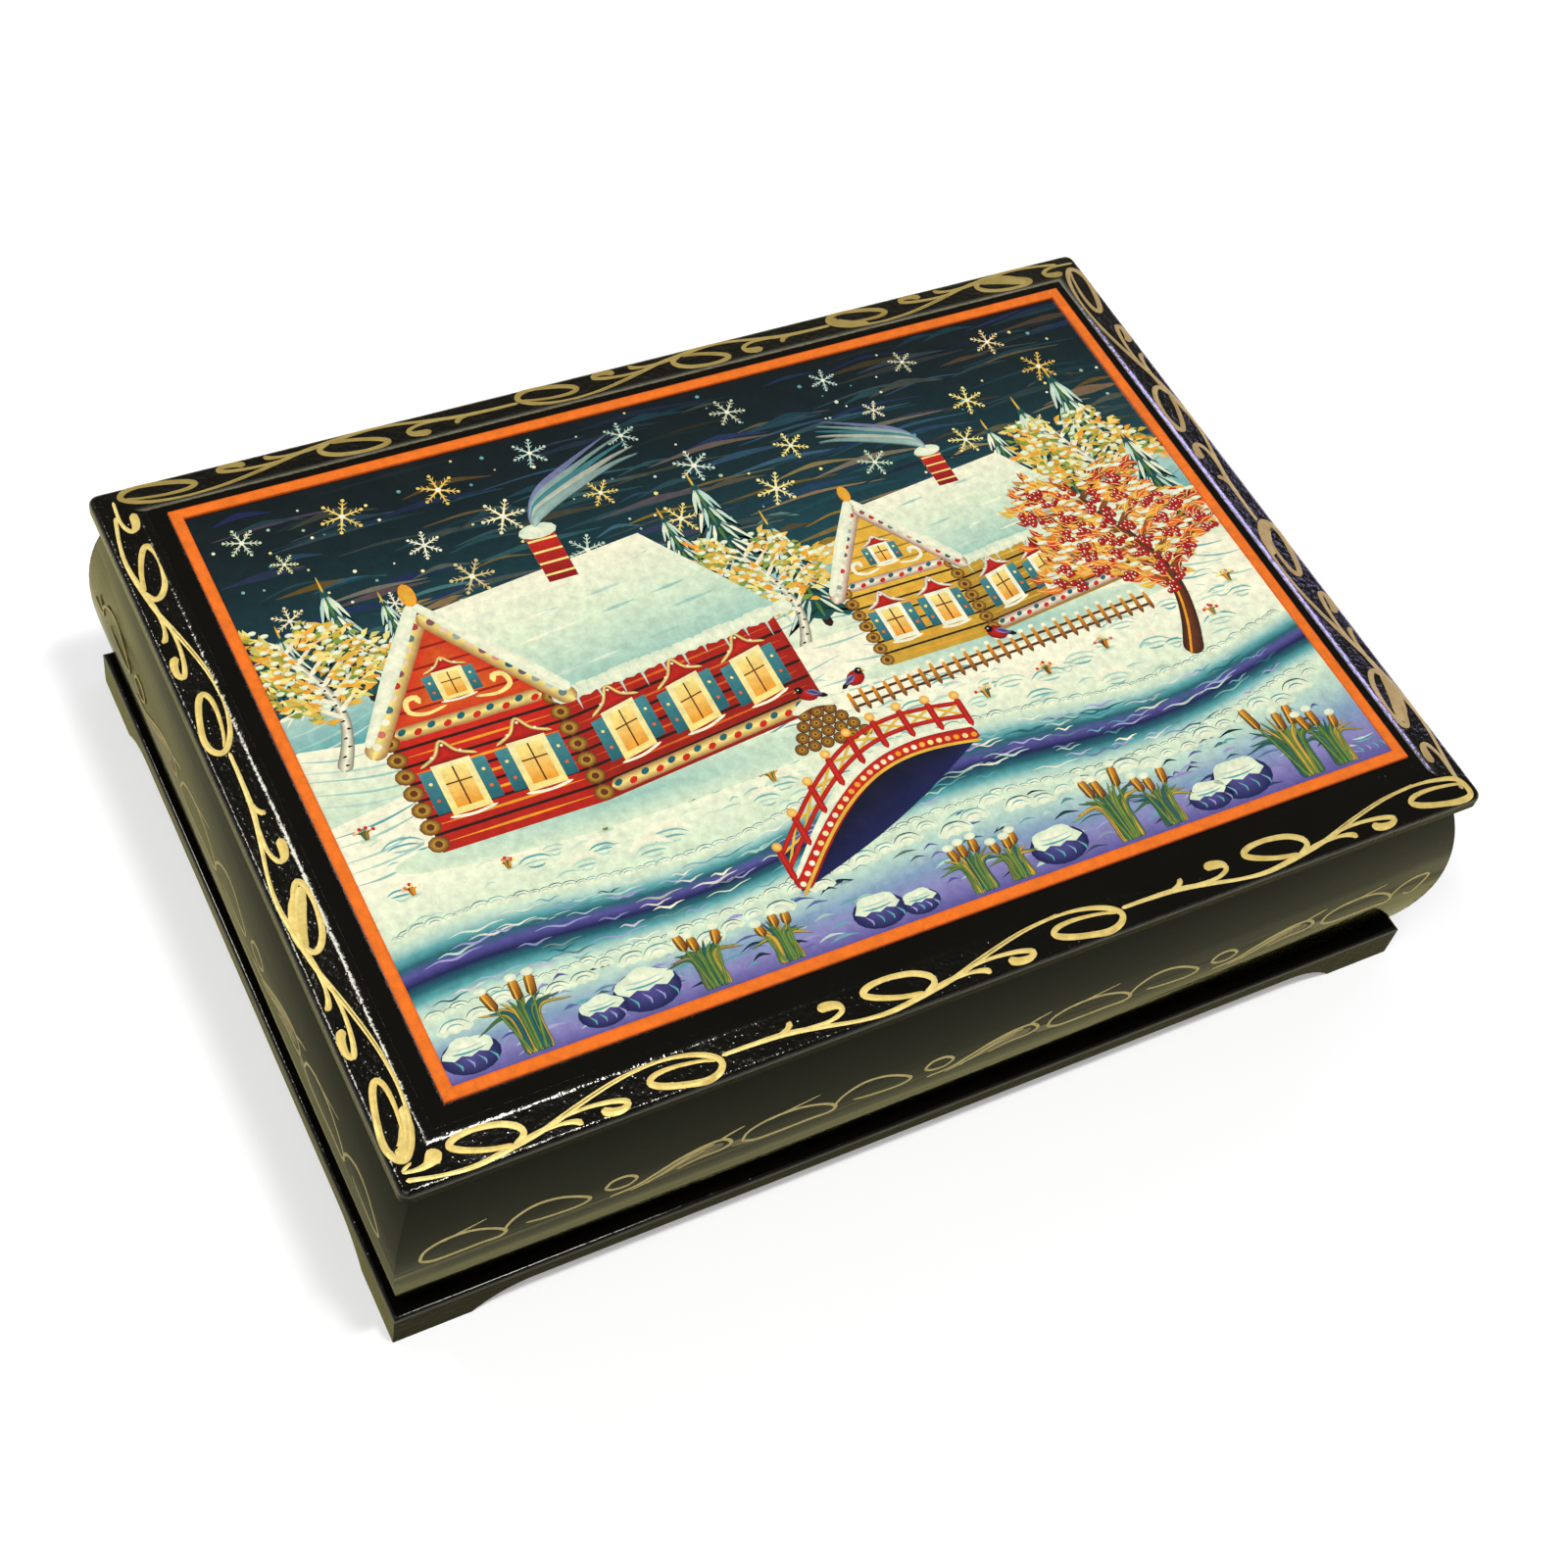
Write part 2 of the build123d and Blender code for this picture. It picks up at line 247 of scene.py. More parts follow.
class Paint:
    """One piece of paint on one surface. Heights count coats of paint."""

    def __init__(self, name, place, step=0.3, within=None):
        self.name, self.place, self.step = name, place, step
        self.within = within or (lambda u, v: True)
        self.points, self.tints, self.faces = [], [], []
        self.marks = 0

    def level(self, coat):
        """The height of one more brush mark, so that no two marks lie in one plane."""
        self.marks += 1
        return COAT * (coat + COAT_SPREAD * (self.marks * GOLDEN_SHARE % 1))

    def corner(self, u, v, lift, tint):
        self.points.append(self.place(u, v, lift) * MM)
        self.tints.append((*tint, 1.0))
        return len(self.points) - 1

    def stroke(self, points, width, tint, coat, tip=None, edge=None, crown=0.0, blunt=True):
        """A brush stroke: width and tint may change on the way, and crown rounds its top."""
        path = [station for station in smooth(points, self.step) if self.within(*station[0])]
        if len(path) < 3:
            return
        lift = self.level(coat)
        lengths = [0.0]
        for (a, _), (b, _) in zip(path, path[1:]):
            lengths.append(lengths[-1] + (b - a).length)
        rings = []
        for i, (spot, share) in enumerate(path):
            ahead = path[min(i + 1, len(path) - 1)][0] - path[max(i - 1, 0)][0]
            if ahead.length < 1e-9:
                continue
            half = at_share(width, share) / 2
            room = min(lengths[i], lengths[-1] - lengths[i])
            if blunt and room < half:
                half *= max(STROKE_END, math.sqrt(1 - (1 - room / half) ** 2))
            reach = Vector((-ahead.y, ahead.x)).normalized() * half
            body = mix(tint, tip or tint, share)
            rim = mix(body, edge, EDGE_SHARE) if edge else body
            top, shoulder = reach * (1 - CROWN_INSET * crown), lift * (1 - crown)
            rings.append([
                self.corner(*(spot - reach), -COAT, rim),
                self.corner(*(spot - top), shoulder, rim),
                self.corner(*spot, lift, body),
                self.corner(*(spot + top), shoulder, rim),
                self.corner(*(spot + reach), -COAT, rim),
            ])
        if len(rings) < 2:
            return
        for a, b in zip(rings, rings[1:]):
            for k in range(5):
                self.faces.append((a[k], a[(k + 1) % 5], b[(k + 1) % 5], b[k]))
        self.faces.append(tuple(reversed(rings[0])))
        self.faces.append(tuple(rings[-1]))

    def area(self, rows, tints, coat):
        """A filled patch: rows of points, all as long, with a tint for each row."""
        lift = self.level(coat)
        top, bottom = [], []
        for grid, height in ((top, lift), (bottom, -COAT)):
            for row, tint in zip(rows, tints):
                grid.append([self.corner(*p, height, colour(tint)) for p in row])
        for r in range(len(rows) - 1):
            for c in range(len(rows[0]) - 1):
                self.faces.append((top[r][c], top[r + 1][c], top[r + 1][c + 1], top[r][c + 1]))
                self.faces.append((bottom[r][c], bottom[r][c + 1], bottom[r + 1][c + 1], bottom[r + 1][c]))
        self.wall(self.outline(top), self.outline(bottom))

    @staticmethod
    def outline(grid):
        """The corners round a grid, in order."""
        right = [row[-1] for row in grid[1:-1]]
        left = [row[0] for row in reversed(grid[1:-1])]
        return list(grid[0]) + right + list(reversed(grid[-1])) + left

    def wall(self, top, bottom):
        """The thin edge between the two faces of a patch."""
        for i in range(len(top)):
            j = (i + 1) % len(top)
            self.faces.append((top[j], top[i], bottom[i], bottom[j]))

    def blob(self, middle, outline, tint, coat, rim=None):
        """A filled shape seen whole from its middle, with its tint changing to the rim."""
        if not all(self.within(*p) for p in outline):
            return
        lift = self.level(coat)
        levels = []
        for height in (lift, -COAT):
            centre = self.corner(*middle, height, colour(tint))
            levels.append((centre, [self.corner(*p, height, colour(rim or tint)) for p in outline]))
        (top, top_ring), (bottom, bottom_ring) = levels
        for i in range(len(outline)):
            j = (i + 1) % len(outline)
            self.faces.append((top, top_ring[i], top_ring[j]))
            self.faces.append((bottom, bottom_ring[j], bottom_ring[i]))
        self.wall(top_ring, bottom_ring)

    def oval(self, u, v, wide, tall, tint, coat, rim=None, turn=0.0, sides=12):
        """A filled oval with half sizes, turned by an angle."""
        c, s = math.cos(turn), math.sin(turn)
        outline = []
        for i in range(sides):
            a = math.tau * i / sides
            x, y = wide * math.cos(a), tall * math.sin(a)
            outline.append((u + x * c - y * s, v + x * s + y * c))
        self.blob((u, v), outline, tint, coat, rim)

    def dot(self, u, v, size, tint, coat, rim=None):
        self.oval(u, v, size, size, tint, coat, rim, sides=7 if size < 0.5 else 12)

    def finish(self, material, body, slot):
        """Make the piece, with its tints."""
        mesh = make_piece(self.name, self.points, self.faces, material, body)
        tint = mesh.color_attributes.new("tint", "FLOAT_COLOR", "POINT")
        tint.data.foreach_set("color", [value for corner in self.tints for value in corner])


# Materials

SPECK_SIZE = 0.22  # share of the way to the next speck
MIX_COLOUR_INPUTS = 0, 6, 7  # the mix node's share and its two colours
MIX_COLOUR_OUTPUT = 2
THIN_VARNISH = {"Coat_Weight": 1.0, "Coat_IOR": 1.01}  # it tints what lies under it, and hardly mirrors
PRINT_VARNISH = {"Coat_Weight": 0.35, "Coat_Roughness": 0.06}


class Nodes:
    """A material's node tree, with short calls for the nodes used here."""

    def __init__(self, name):
        self.material = bpy.data.materials.new(name)
        self.material.use_nodes = True
        self.tree = self.material.node_tree
        self.spot = self.add("ShaderNodeTexCoord", "Object")

    def put(self, socket, value):
        """Link a node's output to a socket, or set the socket to a plain value."""
        if isinstance(value, bpy.types.NodeSocket):
            self.tree.links.new(value, socket)
        else:
            socket.default_value = (*value, 1.0) if socket.type == "RGBA" else value

    def add(self, kind, output, inputs=(), **settings):
        """A new node, given by one of its outputs."""
        node = self.tree.nodes.new(kind)
        for key, value in settings.items():
            setattr(node, key, value)
        for key, value in dict(inputs).items():
            self.put(node.inputs[key], value)
        return node.outputs[output]

    def shade(self, **values):
        """Give values or nodes to the shader."""
        shader = self.tree.nodes["Principled BSDF"]
        for key, value in values.items():
            self.put(shader.inputs[key.replace("_", " ")], value)

    def tint(self):
        """The colour painted on the mesh."""
        return self.add("ShaderNodeAttribute", "Color", attribute_name="tint")

    def noise(self, scale, detail=3.0, roughness=0.55):
        inputs = {"Vector": self.spot, "Scale": scale, "Detail": detail, "Roughness": roughness}
        return self.add("ShaderNodeTexNoise", "Fac", inputs)

    def specks(self, scale):
        """Small round bumps, scattered."""
        distance = self.add("ShaderNodeTexVoronoi", "Distance", {"Vector": self.spot, "Scale": scale})
        return self.math("MAXIMUM", self.math("SUBTRACT", SPECK_SIZE, distance), 0.0)

    def ramp(self, source, low, high, start=0.3, end=0.7):
        """Spread a value, such as a noise, between two others."""
        inputs = {"Value": source, "From Min": start, "From Max": end, "To Min": low, "To Max": high}
        return self.add("ShaderNodeMapRange", "Result", inputs)

    def blend(self, share, first, second, kind="MIX"):
        """Mix two colours by a share. Each of the three may be plain or come from a node."""
        inputs = dict(zip(MIX_COLOUR_INPUTS, (share, first, second)))
        return self.add("ShaderNodeMix", MIX_COLOUR_OUTPUT, inputs, data_type="RGBA", blend_type=kind)

    def math(self, operation, *values):
        return self.add("ShaderNodeMath", "Value", enumerate(values), operation=operation)

    def bump(self, source, strength, distance):
        """Dents up to a depth in millimetres."""
        inputs = {"Height": source, "Strength": strength, "Distance": distance * MM}
        self.shade(Normal=self.add("ShaderNodeBump", "Normal", inputs))


def lacquer(name, dark, light, depth, varnish, gloss, peel, inside=None):
    """Hand-rubbed lacquer under yellowed varnish: its gleam has a depth, and its skin a peel.

    Where given, another colour covers the inside of the box."""
    nodes = Nodes(name)
    nodes.shade(IOR=depth, Coat_Tint=varnish, Coat_Roughness=0.1, **THIN_VARNISH)
    body = nodes.blend(nodes.noise(60, 4), dark, light)
    if inside:
        x = nodes.add("ShaderNodeSeparateXYZ", "X", {"Vector": nodes.spot})
        past = []
        for place, reach in ((x, inner_high.x), (x.node.outputs["Y"], inner_high.y)):
            wall = (reach + INNER_CLEARANCE + LINING_LAP) * MM
            past.append(nodes.math("SUBTRACT", nodes.math("ABSOLUTE", place), wall))
        within = nodes.math("LESS_THAN", nodes.math("MAXIMUM", *past), 0.0)
        body = nodes.blend(within, body, nodes.blend(nodes.noise(90, 4), *inside))
    nodes.shade(Base_Color=body, Roughness=nodes.ramp(nodes.noise(140, 5), *gloss))
    waves = nodes.math("ADD", nodes.math("MULTIPLY", nodes.noise(300, 2), 1.5), nodes.noise(1500, 2))
    skin = nodes.math("ADD", waves, nodes.math("MULTIPLY", nodes.specks(1100), 2.0))
    nodes.bump(nodes.math("MULTIPLY", skin, peel), 0.4, 0.05)
    return nodes.material


def brass():
    nodes = Nodes("hinge_brass")
    nodes.shade(Metallic=1.0)
    nodes.shade(Base_Color=nodes.blend(nodes.noise(500, 4), (0.62, 0.42, 0.15), (0.80, 0.60, 0.27)))
    nodes.shade(Roughness=nodes.ramp(nodes.noise(900, 4), 0.24, 0.42))
    nodes.bump(nodes.noise(1800, 3), 0.15, 0.03)
    return nodes.material


def gold_paint(name, metal, worn, varnish):
    """Bronze powder paint laid on with a brush, under varnish."""
    nodes = Nodes(name)
    nodes.shade(Metallic=metal, IOR=1.3, Coat_Tint=varnish, Coat_Roughness=0.12, **THIN_VARNISH)
    wear = nodes.ramp(nodes.noise(700, 5, 0.7), 0.0, 0.5)
    nodes.shade(Base_Color=nodes.blend(wear, nodes.tint(), worn))
    nodes.shade(Roughness=nodes.ramp(nodes.noise(1500, 4), 0.32, 0.55))
    nodes.bump(nodes.noise(2200, 4), 0.25, 0.04)
    return nodes.material


def picture_paint():
    """Printed colours under clear lacquer, each mottled a little."""
    nodes = Nodes("picture_paint")
    nodes.shade(**PRINT_VARNISH)
    mottle = nodes.ramp(nodes.noise(900, 4, 0.65), 0.0, 1.0)
    shade = nodes.blend(mottle, (0.72, 0.74, 0.76), (1.0, 1.0, 1.0))
    nodes.shade(Base_Color=nodes.blend(1.0, nodes.tint(), shade, "MULTIPLY"))
    nodes.shade(Roughness=nodes.ramp(nodes.noise(260, 4), 0.18, 0.30))
    nodes.bump(nodes.noise(500, 3), 0.08, 0.03)
    return nodes.material


def printed_sheet():
    """The sheet itself, where no paint covers it."""
    nodes = Nodes("picture_sheet")
    nodes.shade(Roughness=0.3, **PRINT_VARNISH)
    nodes.shade(Base_Color=nodes.blend(nodes.noise(400, 5), INK["umber"], INK["brown"]))
    return nodes.material


def soften(node):
    """Round a solid's edges a little, as rubbed lacquer does."""
    weld = node.modifiers.new("weld", "WELD")
    weld.merge_threshold = 0.002 * MM
    bevel = node.modifiers.new("bevel", "BEVEL")
    bevel.width = EDGE_ROUND * MM
    bevel.segments = 2
    bevel.limit_method = "ANGLE"
    bevel.angle_limit = math.radians(20)
    bevel.harden_normals = True


black = ink(4, 4, 3), ink(10, 9, 7)
olive = ink(7, 9, 4), ink(18, 21, 9)
red = ink(150, 22, 14), ink(184, 38, 22)
lining = ink(160, 24, 17), ink(196, 41, 27)  # the same red, to be seen through the walls' darker varnish
clear, amber, smoky = (1.0, 0.98, 0.86), (1.0, 0.98, 0.78), (0.885, 0.87, 0.72)
lid_lacquer = lacquer("lid_lacquer", *black, 1.42, clear, (0.10, 0.18), 3.5)
pooled_lacquer = lacquer("pooled_lacquer", *black, 1.45, clear, (0.06, 0.12), 1.7)
plinth_lacquer = lacquer("plinth_lacquer", *black, 1.08, amber, (0.12, 0.22), 2.0)
wall_lacquer = lacquer("wall_lacquer", *olive, 1.21, smoky, (0.06, 0.11), 0.5, lining)
red_lacquer = lacquer("red_lacquer", *red, 1.45, clear, (0.16, 0.26), 0.3)
border_gold = gold_paint("border_gold", 0.35, ink(150, 116, 44), (1.0, 1.0, 0.94))
wall_gold = gold_paint("wall_gold", 0.0, ink(120, 108, 66), (1.0, 0.98, 0.88))
picture = picture_paint()

# The first of these that begins a node's name gives its material
NODE_MATERIALS = {
    "hinge": brass(),
    "wall": wall_lacquer,
    "plinth": plinth_lacquer,
    "floor_board": red_lacquer,
    "lid_inner_panel": red_lacquer,
    "lid_print": printed_sheet(),
    "lid": lid_lacquer,
}
for name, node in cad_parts.items():
    start = next(start for start in NODE_MATERIALS if name.startswith(start))
    node.data.materials.clear()
    node.data.materials.append(NODE_MATERIALS[start])
    if start != "hinge" and name not in ("lid_board", "lid_print"):
        soften(node)


# Lacquer that gathered along corners and edges


def pooled_ring(name, half_x, half_y, section, body, material, corner=0.0, right_section=None):
    """A closed ring round the box, with its section as insets from the sides and heights.

    Its corners are square, or rounded to a radius. The middle of the right side may have a section of
    its own."""
    points, faces = [], []
    steps = 8 if corner else 0
    stops = [(*turn, 0) for turn in TURNS]
    if right_section:
        stops[2:2] = [(1, -1, POOL_INSET), (1, 1, -POOL_INSET)]
    for i, (right, back, along) in enumerate(stops):
        for k in range(steps + 1):
            a = math.radians(180 + 90 * i + 90 * k / max(steps, 1))
            way = (math.cos(a), math.sin(a)) if corner else (right, back)
            for inset, height in right_section if along else section:
                x = right * (half_x - corner) + way[0] * (corner - inset)
                y = back * (half_y - corner) + way[1] * (corner - inset) + along
                points.append(Vector((x, y, height)) * MM)
    count = len(section)
    turns = len(stops) * (steps + 1)
    for i in range(turns):
        j = (i + 1) % turns
        for k in range(count):
            m = (k + 1) % count
            faces.append((i * count + k, j * count + k, j * count + m, i * count + m))
    mesh = make_piece(name, points, faces, material, body)
    mesh.shade_smooth()
    mesh.set_sharp_from_angle(angle=math.radians(15))


def panel_fillet():
    """Lacquer pooled in the corner between the lid's border and its raised panel."""
    width = panel_low.x - lid_low.x
    slope = math.atan2(lid_high.z - lid_low.z - LID_RIM, width)
    steep = math.atan2(PANEL_RISE, PANEL_BEVEL)
    corner = Vector((width, lid_high.z))
    start = corner - FILLET_REACH[0] * Vector((math.cos(slope), math.sin(slope)))
    end = corner + FILLET_REACH[1] * Vector((math.cos(steep), math.sin(steep)))
    sections = []
    for flat in FILLET_FLAT:
        section = []
        for share in shares(9):
            curve = start.lerp(corner, share).lerp(corner.lerp(end, share), share)
            section.append(curve.lerp(start.lerp(end, share), flat) + Vector((0, VARNISH)))
        sections.append(section + [corner + Vector((SUNK, -SUNK))])
    around, right = sections
    pooled_ring("panel_fillet", lid_high.x, lid_high.y, around, "lid", pooled_lacquer, right_section=right)


def plinth_bead():
    """Lacquer gathered on the plinth's upper edge, from just below its round to just past it."""
    reach = PLINTH_ROUND + VARNISH
    middle = plinth_high.z - PLINTH_ROUND
    section = []
    for share in shares(9):
        a = math.radians(-4 + 98 * share)
        section.append((PLINTH_ROUND - reach * math.cos(a), middle + reach * math.sin(a)))
    section.append((PLINTH_ROUND, middle))
    pooled_ring("plinth_bead", plinth_high.x, -plinth_low.y, section, "case", pooled_lacquer)


def rim_shade_band():
    """Dull lacquer on the upright face of the lid's rim, a painted shade that darkens what that face
    mirrors; it leaves the rim's lower edge bright.
    """
    low, high = lid_low.z + RIM_EDGE, lid_low.z + LID_RIM - RIM_ROUND
    section = [(-VARNISH, low), (-VARNISH, high), (SUNK, high), (SUNK, low)]
    pooled_ring("rim_shade_band", lid_high.x, lid_high.y, section, "lid", plinth_lacquer, LID_CORNER)


panel_fillet()
plinth_bead()
rim_shade_band()


# Gold scroll on the lid's border: one repeat of the vine, from the end of one loop to the end of the next,
# as strokes. A place is given along the side in millimetres and across the border, from 0 at the edge to 4
# at the panel, with the stroke's width there.

VINE_REPEAT = 51.0
VINE_HEIGHT = 4.1  # across, in the places below
VINE_FOOT = 0.42  # from the lid's edge to where the places across begin
VINE_SPAN = 4.28 - VINE_FOOT
BORDER_END = 0.9  # paint stops this far from a corner
VINE_BRUSH = 0.88  # how broad the strokes are, against the widths below
VINE_STEM = (
    (0.2, 2.2, 0.5), (4, 2.15, 0.6), (8, 1.95, 0.75), (12, 1.25, 0.6), (16, 0.45, 0.5),
    (19.5, 0.15, 0.6), (23, 0.45, 0.75), (27, 1.05, 0.8), (30, 1.55, 0.5), (34, 2.6, 0.3),
    (39, 3.65, 0.3), (43.5, 4.05, 0.4), (47, 3.7, 0.6), (49.6, 2.8, 0.8), (50.9, 1.6, 0.9),
    (50.2, 0.5, 0.9), (48.3, 0.1, 0.85), (45.3, 0.6, 0.85), (42.9, 1.35, 0.95), (42, 2.1, 0.9),
    (43, 2.75, 0.7), (45.5, 2.85, 0.55), (48.5, 2.45, 0.45), (50.4, 1.9, 0.4),
)
VINE = (
    VINE_STEM,
    ((24.6, 0.75, 0.55), (26.1, 1.5, 0.85), (26.0, 2.5, 0.95), (24.2, 3.55, 0.85), (21.2, 4.05, 0.75),
     (18.8, 3.85, 0.85), (17.9, 3.15, 0.95), (19.2, 2.25, 0.85), (21.8, 1.35, 0.7), (24.6, 0.85, 0.6)),
    ((28.5, 1.5, 0.15), (33.5, 2.8, 0.22), (38.5, 3.85, 0.2), (43.5, 4.3, 0.12)),
    ((27.5, 1.15, 0.4), (30.5, 1.2, 0.45), (32.3, 0.85, 0.8), (32.9, 0.35, 1.0)),
    ((28, 1.3, 0.4), (31, 1.85, 0.45), (34, 1.95, 0.5), (37, 1.6, 0.65), (38.7, 1.0, 0.8),
     (38.1, 0.4, 0.85), (36.6, 0.45, 1.1), (35.4, 1.0, 1.3)),
    ((7.0, 2.1, 0.45), (8.2, 2.45, 0.65), (8.9, 3.15, 0.95)),
    ((9.5, 1.75, 0.45), (13, 1.6, 0.5), (14.8, 2.2, 0.7), (14.7, 3.0, 1.05), (13.5, 3.35, 1.3),
     (12.3, 3.35, 1.2)),
)
HEAVY_MARKS = (
    ((18.6, 3.3, 1.4), (20.4, 2.2, 2.3), (23.2, 1.15, 2.2), (25.6, 0.9, 1.2)),
    ((45.6, 3.55, 0.9), (48.0, 3.0, 1.8), (49.9, 1.9, 2.2), (49.7, 0.9, 1.2)),
)

# The curl in the corner where the front begins, along the side from its middle
CORNER_CURL = (
    ((-69.0, 2.2, 0.4), (-67.6, 2.0, 0.55), (-66.4, 2.1, 0.95), (-65.4, 2.7, 2.2), (-64.5, 2.9, 1.8)),
    ((-69.0, 2.35, 0.4), (-68.4, 2.65, 0.45), (-67.7, 2.95, 0.35)),
)

# Gold painted lighter for the front and left, the sides the light falls on: a painted highlight
lit_gold = ink(236, 216, 142), ink(222, 196, 116)

# Where the repeats end along each side, which of them have loops painted heavily, the shift inwards at the
# side's two ends, and the gold at the start and end of a stroke. The gold is painted light and shade:
# lighter on the front and left, duller on the back, and greyer and pinker on the right as a painted
# reflection of the glare there
BORDER_RUNS = {
    "front": ((-80, -33, 18.2, 69.3), (), (0.0, 0.0), lit_gold),
    "right": ((-56.8, -2.5, 47), (0,), (0.0, 0.0), (ink(204, 180, 132), ink(180, 154, 104))),
    "back": ((-77.9, -30.2, 15, 66.5), (0,), (0.0, 0.0), (ink(190, 170, 106), ink(166, 146, 84))),
    "left": ((-56.8, -8.3, 46.3), (1,), (0.5, 0.0), lit_gold),
}


def scroll_stroke(paint, places, limit, brush, golds, height, crown):
    """One stroke of gold, without what lies past the end of its side."""
    kept = [place for place in places if abs(place[0]) < limit]
    if len(kept) >= 2:
        points = [(u, v) for u, v, _ in kept]
        widths = [brush * width for _, _, width in kept]
        tint, tip = golds
        paint.stroke(points, widths, tint, GOLD_COATS * height, tip, crown=crown)


def border_scroll():
    """Gold vine round the lid's border."""
    for side, (ends, heavy, shift, golds) in BORDER_RUNS.items():
        paint = Paint(f"gold_border_{side}", on_border(side))
        half = half_lid(SIDES[side][0])
        limit = half - BORDER_END

        def draw(marks, start, stretch, height, crown):
            for mark in marks:
                places = []
                for u, across, width in mark:
                    u = start + u * stretch
                    inwards = at_share(shift, min(max((u + half) / (2 * half), 0), 1))
                    places.append((u, VINE_FOOT + across / VINE_HEIGHT * VINE_SPAN + inwards, width))
                # Only the stem comes in from past the corner
                if mark is VINE_STEM or abs(places[0][0]) < limit:
                    scroll_stroke(paint, places, limit, VINE_BRUSH, golds, height, crown)

        for run, (start, end) in enumerate(zip(ends, ends[1:])):
            stretch = (end - start) / VINE_REPEAT
            draw(VINE, start, stretch, 1.0, 0.25)
            if run in heavy:
                draw(HEAVY_MARKS, start, stretch, 1.1, 0.4)
        if side == "front":
            draw(CORNER_CURL, 0, 1, 1.0, 0.3)
        paint.finish(border_gold, "lid", "black_lacquer")


# Gold scroll on the walls, thinner and paler: one repeat, as strokes. A place is given along the wall and
# up from the table, in millimetres, with the stroke's width there.

WALL_REPEAT = 40.5
WALL_LIFT = 1.0  # the whole scroll is raised by this
WALL_MARGIN = 1.6  # paint stops this far inside the lid's edge
WALL_END = 9.0  # length of the last stretch at each end
WALL_VINE = (
    ((0.1, 19.2, 0.4), (0.8, 20.9, 0.42), (3.5, 21.9, 0.42), (7.2, 21.8, 0.4), (10.5, 20.6, 0.4),
     (12.1, 19.1, 0.5), (11.4, 18.2, 0.55), (8.8, 18.3, 0.45), (5.2, 18.2, 0.5), (2, 18.3, 0.55),
     (0.1, 19.2, 0.4)),
    ((3.2, 21.7, 0.3), (6.2, 22.3, 0.3), (9.6, 23.0, 0.15)),
    ((11.8, 19.3, 0.4), (13, 21.0, 0.42), (15.4, 22.1, 0.45), (18.4, 21.7, 0.4), (21.3, 20.0, 0.42),
     (22, 18.9, 0.5), (20.4, 18.3, 0.45), (16.6, 18.6, 0.4), (14.4, 19.1, 0.3)),
    ((23.7, 19.9, 0.42), (24.6, 21.0, 0.45), (26.4, 21.0, 0.45), (27.6, 19.9, 0.42), (26.6, 18.9, 0.42),
     (24.8, 19.1, 0.42), (23.7, 19.9, 0.42)),
    ((24.5, 17.6, 0.3), (27.6, 17.9, 0.4), (30, 19.1, 0.45), (32.6, 20.4, 0.5), (35.4, 21.2, 0.5),
     (38, 21.2, 0.45), (39.2, 19.9, 0.5), (38.2, 19.1, 0.45), (35.2, 18.9, 0.4), (32.6, 18.2, 0.3)),
    ((27, 17.2, 0.25), (30.2, 18.2, 0.4), (33, 19.5, 0.4), (36, 20.4, 0.25)),
    ((29, 17.5, 0.2), (32, 19.3, 0.3), (34.6, 20.6, 0.35), (37, 20.9, 0.25)),
    ((37.6, 21.3, 0.35), (39, 21.9, 0.35), (40.6, 22.4, 0.2)),
)

# Broad dark khaki strokes inside the leaves: thinned gold, and partly a painted reflection of the table on
# the walls' belly
WALL_WASHES = (
    ((28, 17.8, 0.6), (31.5, 18.9, 1.5), (35, 19.9, 1.9), (38.2, 20.1, 1.0)),
    ((38.4, 19.6, 0.6), (40, 19.2, 1.5), (42, 18.4, 0.6)),
)

# Where the first repeat starts on each wall, how much each millimetre along lowers it, the share that is
# kept of the length of the last stretch at each end, and the gold. The gold is painted light and shade:
# lighter on the front and darker on the left, for how light falls on each wall
WALL_RUNS = {
    "front": (-70.0, 0.016, 0.8, ink(172, 160, 112)),
    "right": (-61.0, 0.0, 1.0, ink(160, 146, 96)),
    "back": (-74.0, 0.0, 1.0, ink(160, 146, 96)),
    "left": (-57.0, 0.0, 1.0, ink(136, 126, 86)),
}


def wall_scroll():
    """Gold scroll round the walls."""
    for side, (start, fall, keep, pale) in WALL_RUNS.items():
        paint = Paint(f"gold_wall_{side}", on_wall(side))
        limit = half_lid(SIDES[side][0]) - WALL_MARGIN
        thin = mix(pale, "umber", 0.25)
        # Dark khaki for the washes: thinned gold that also paints a reflection of the table
        wash_and_reflection = mix(pale, ink(22, 24, 8), 0.9)
        coats = (WALL_WASHES, (wash_and_reflection, wash_and_reflection), 0.2), (WALL_VINE, (pale, thin), 0.6)

        def place(u, z, width):
            past = max(abs(u) - limit + WALL_END, 0)
            return (u - math.copysign((1 - keep) * past, u), z + WALL_LIFT - fall * (u + limit), width)

        while start < limit:
            for marks, golds, height in coats:
                for mark in marks:
                    places = [place(start + u, z, width) for u, z, width in mark]
                    scroll_stroke(paint, places, limit, 1.0, golds, height, 0.45)
            start += WALL_REPEAT
        paint.finish(wall_gold, "case", "black_lacquer")


border_scroll()
wall_scroll()


# The picture: a winter village by a stream, painted from back to front. Each part of it starts on a coat of
# its own, counted up from the paper.

hand = random.Random(11)
COATS = {
    "sky": 1, "air": 2, "stars": 6, "snowflakes": 7, "far_hill": 28, "halfway_hill": 36, "near_hill": 44,
    "field": 46.5, "drifts": 48, "tufts": 51, "stream": 52, "bank": 60, "bank_marks": 60.6, "bank_snow": 63,
    "rowan": 70, "yard": 72, "bridge": 76, "birds": 80, "stones": 82, "reeds": 86, "frame": 100,
}


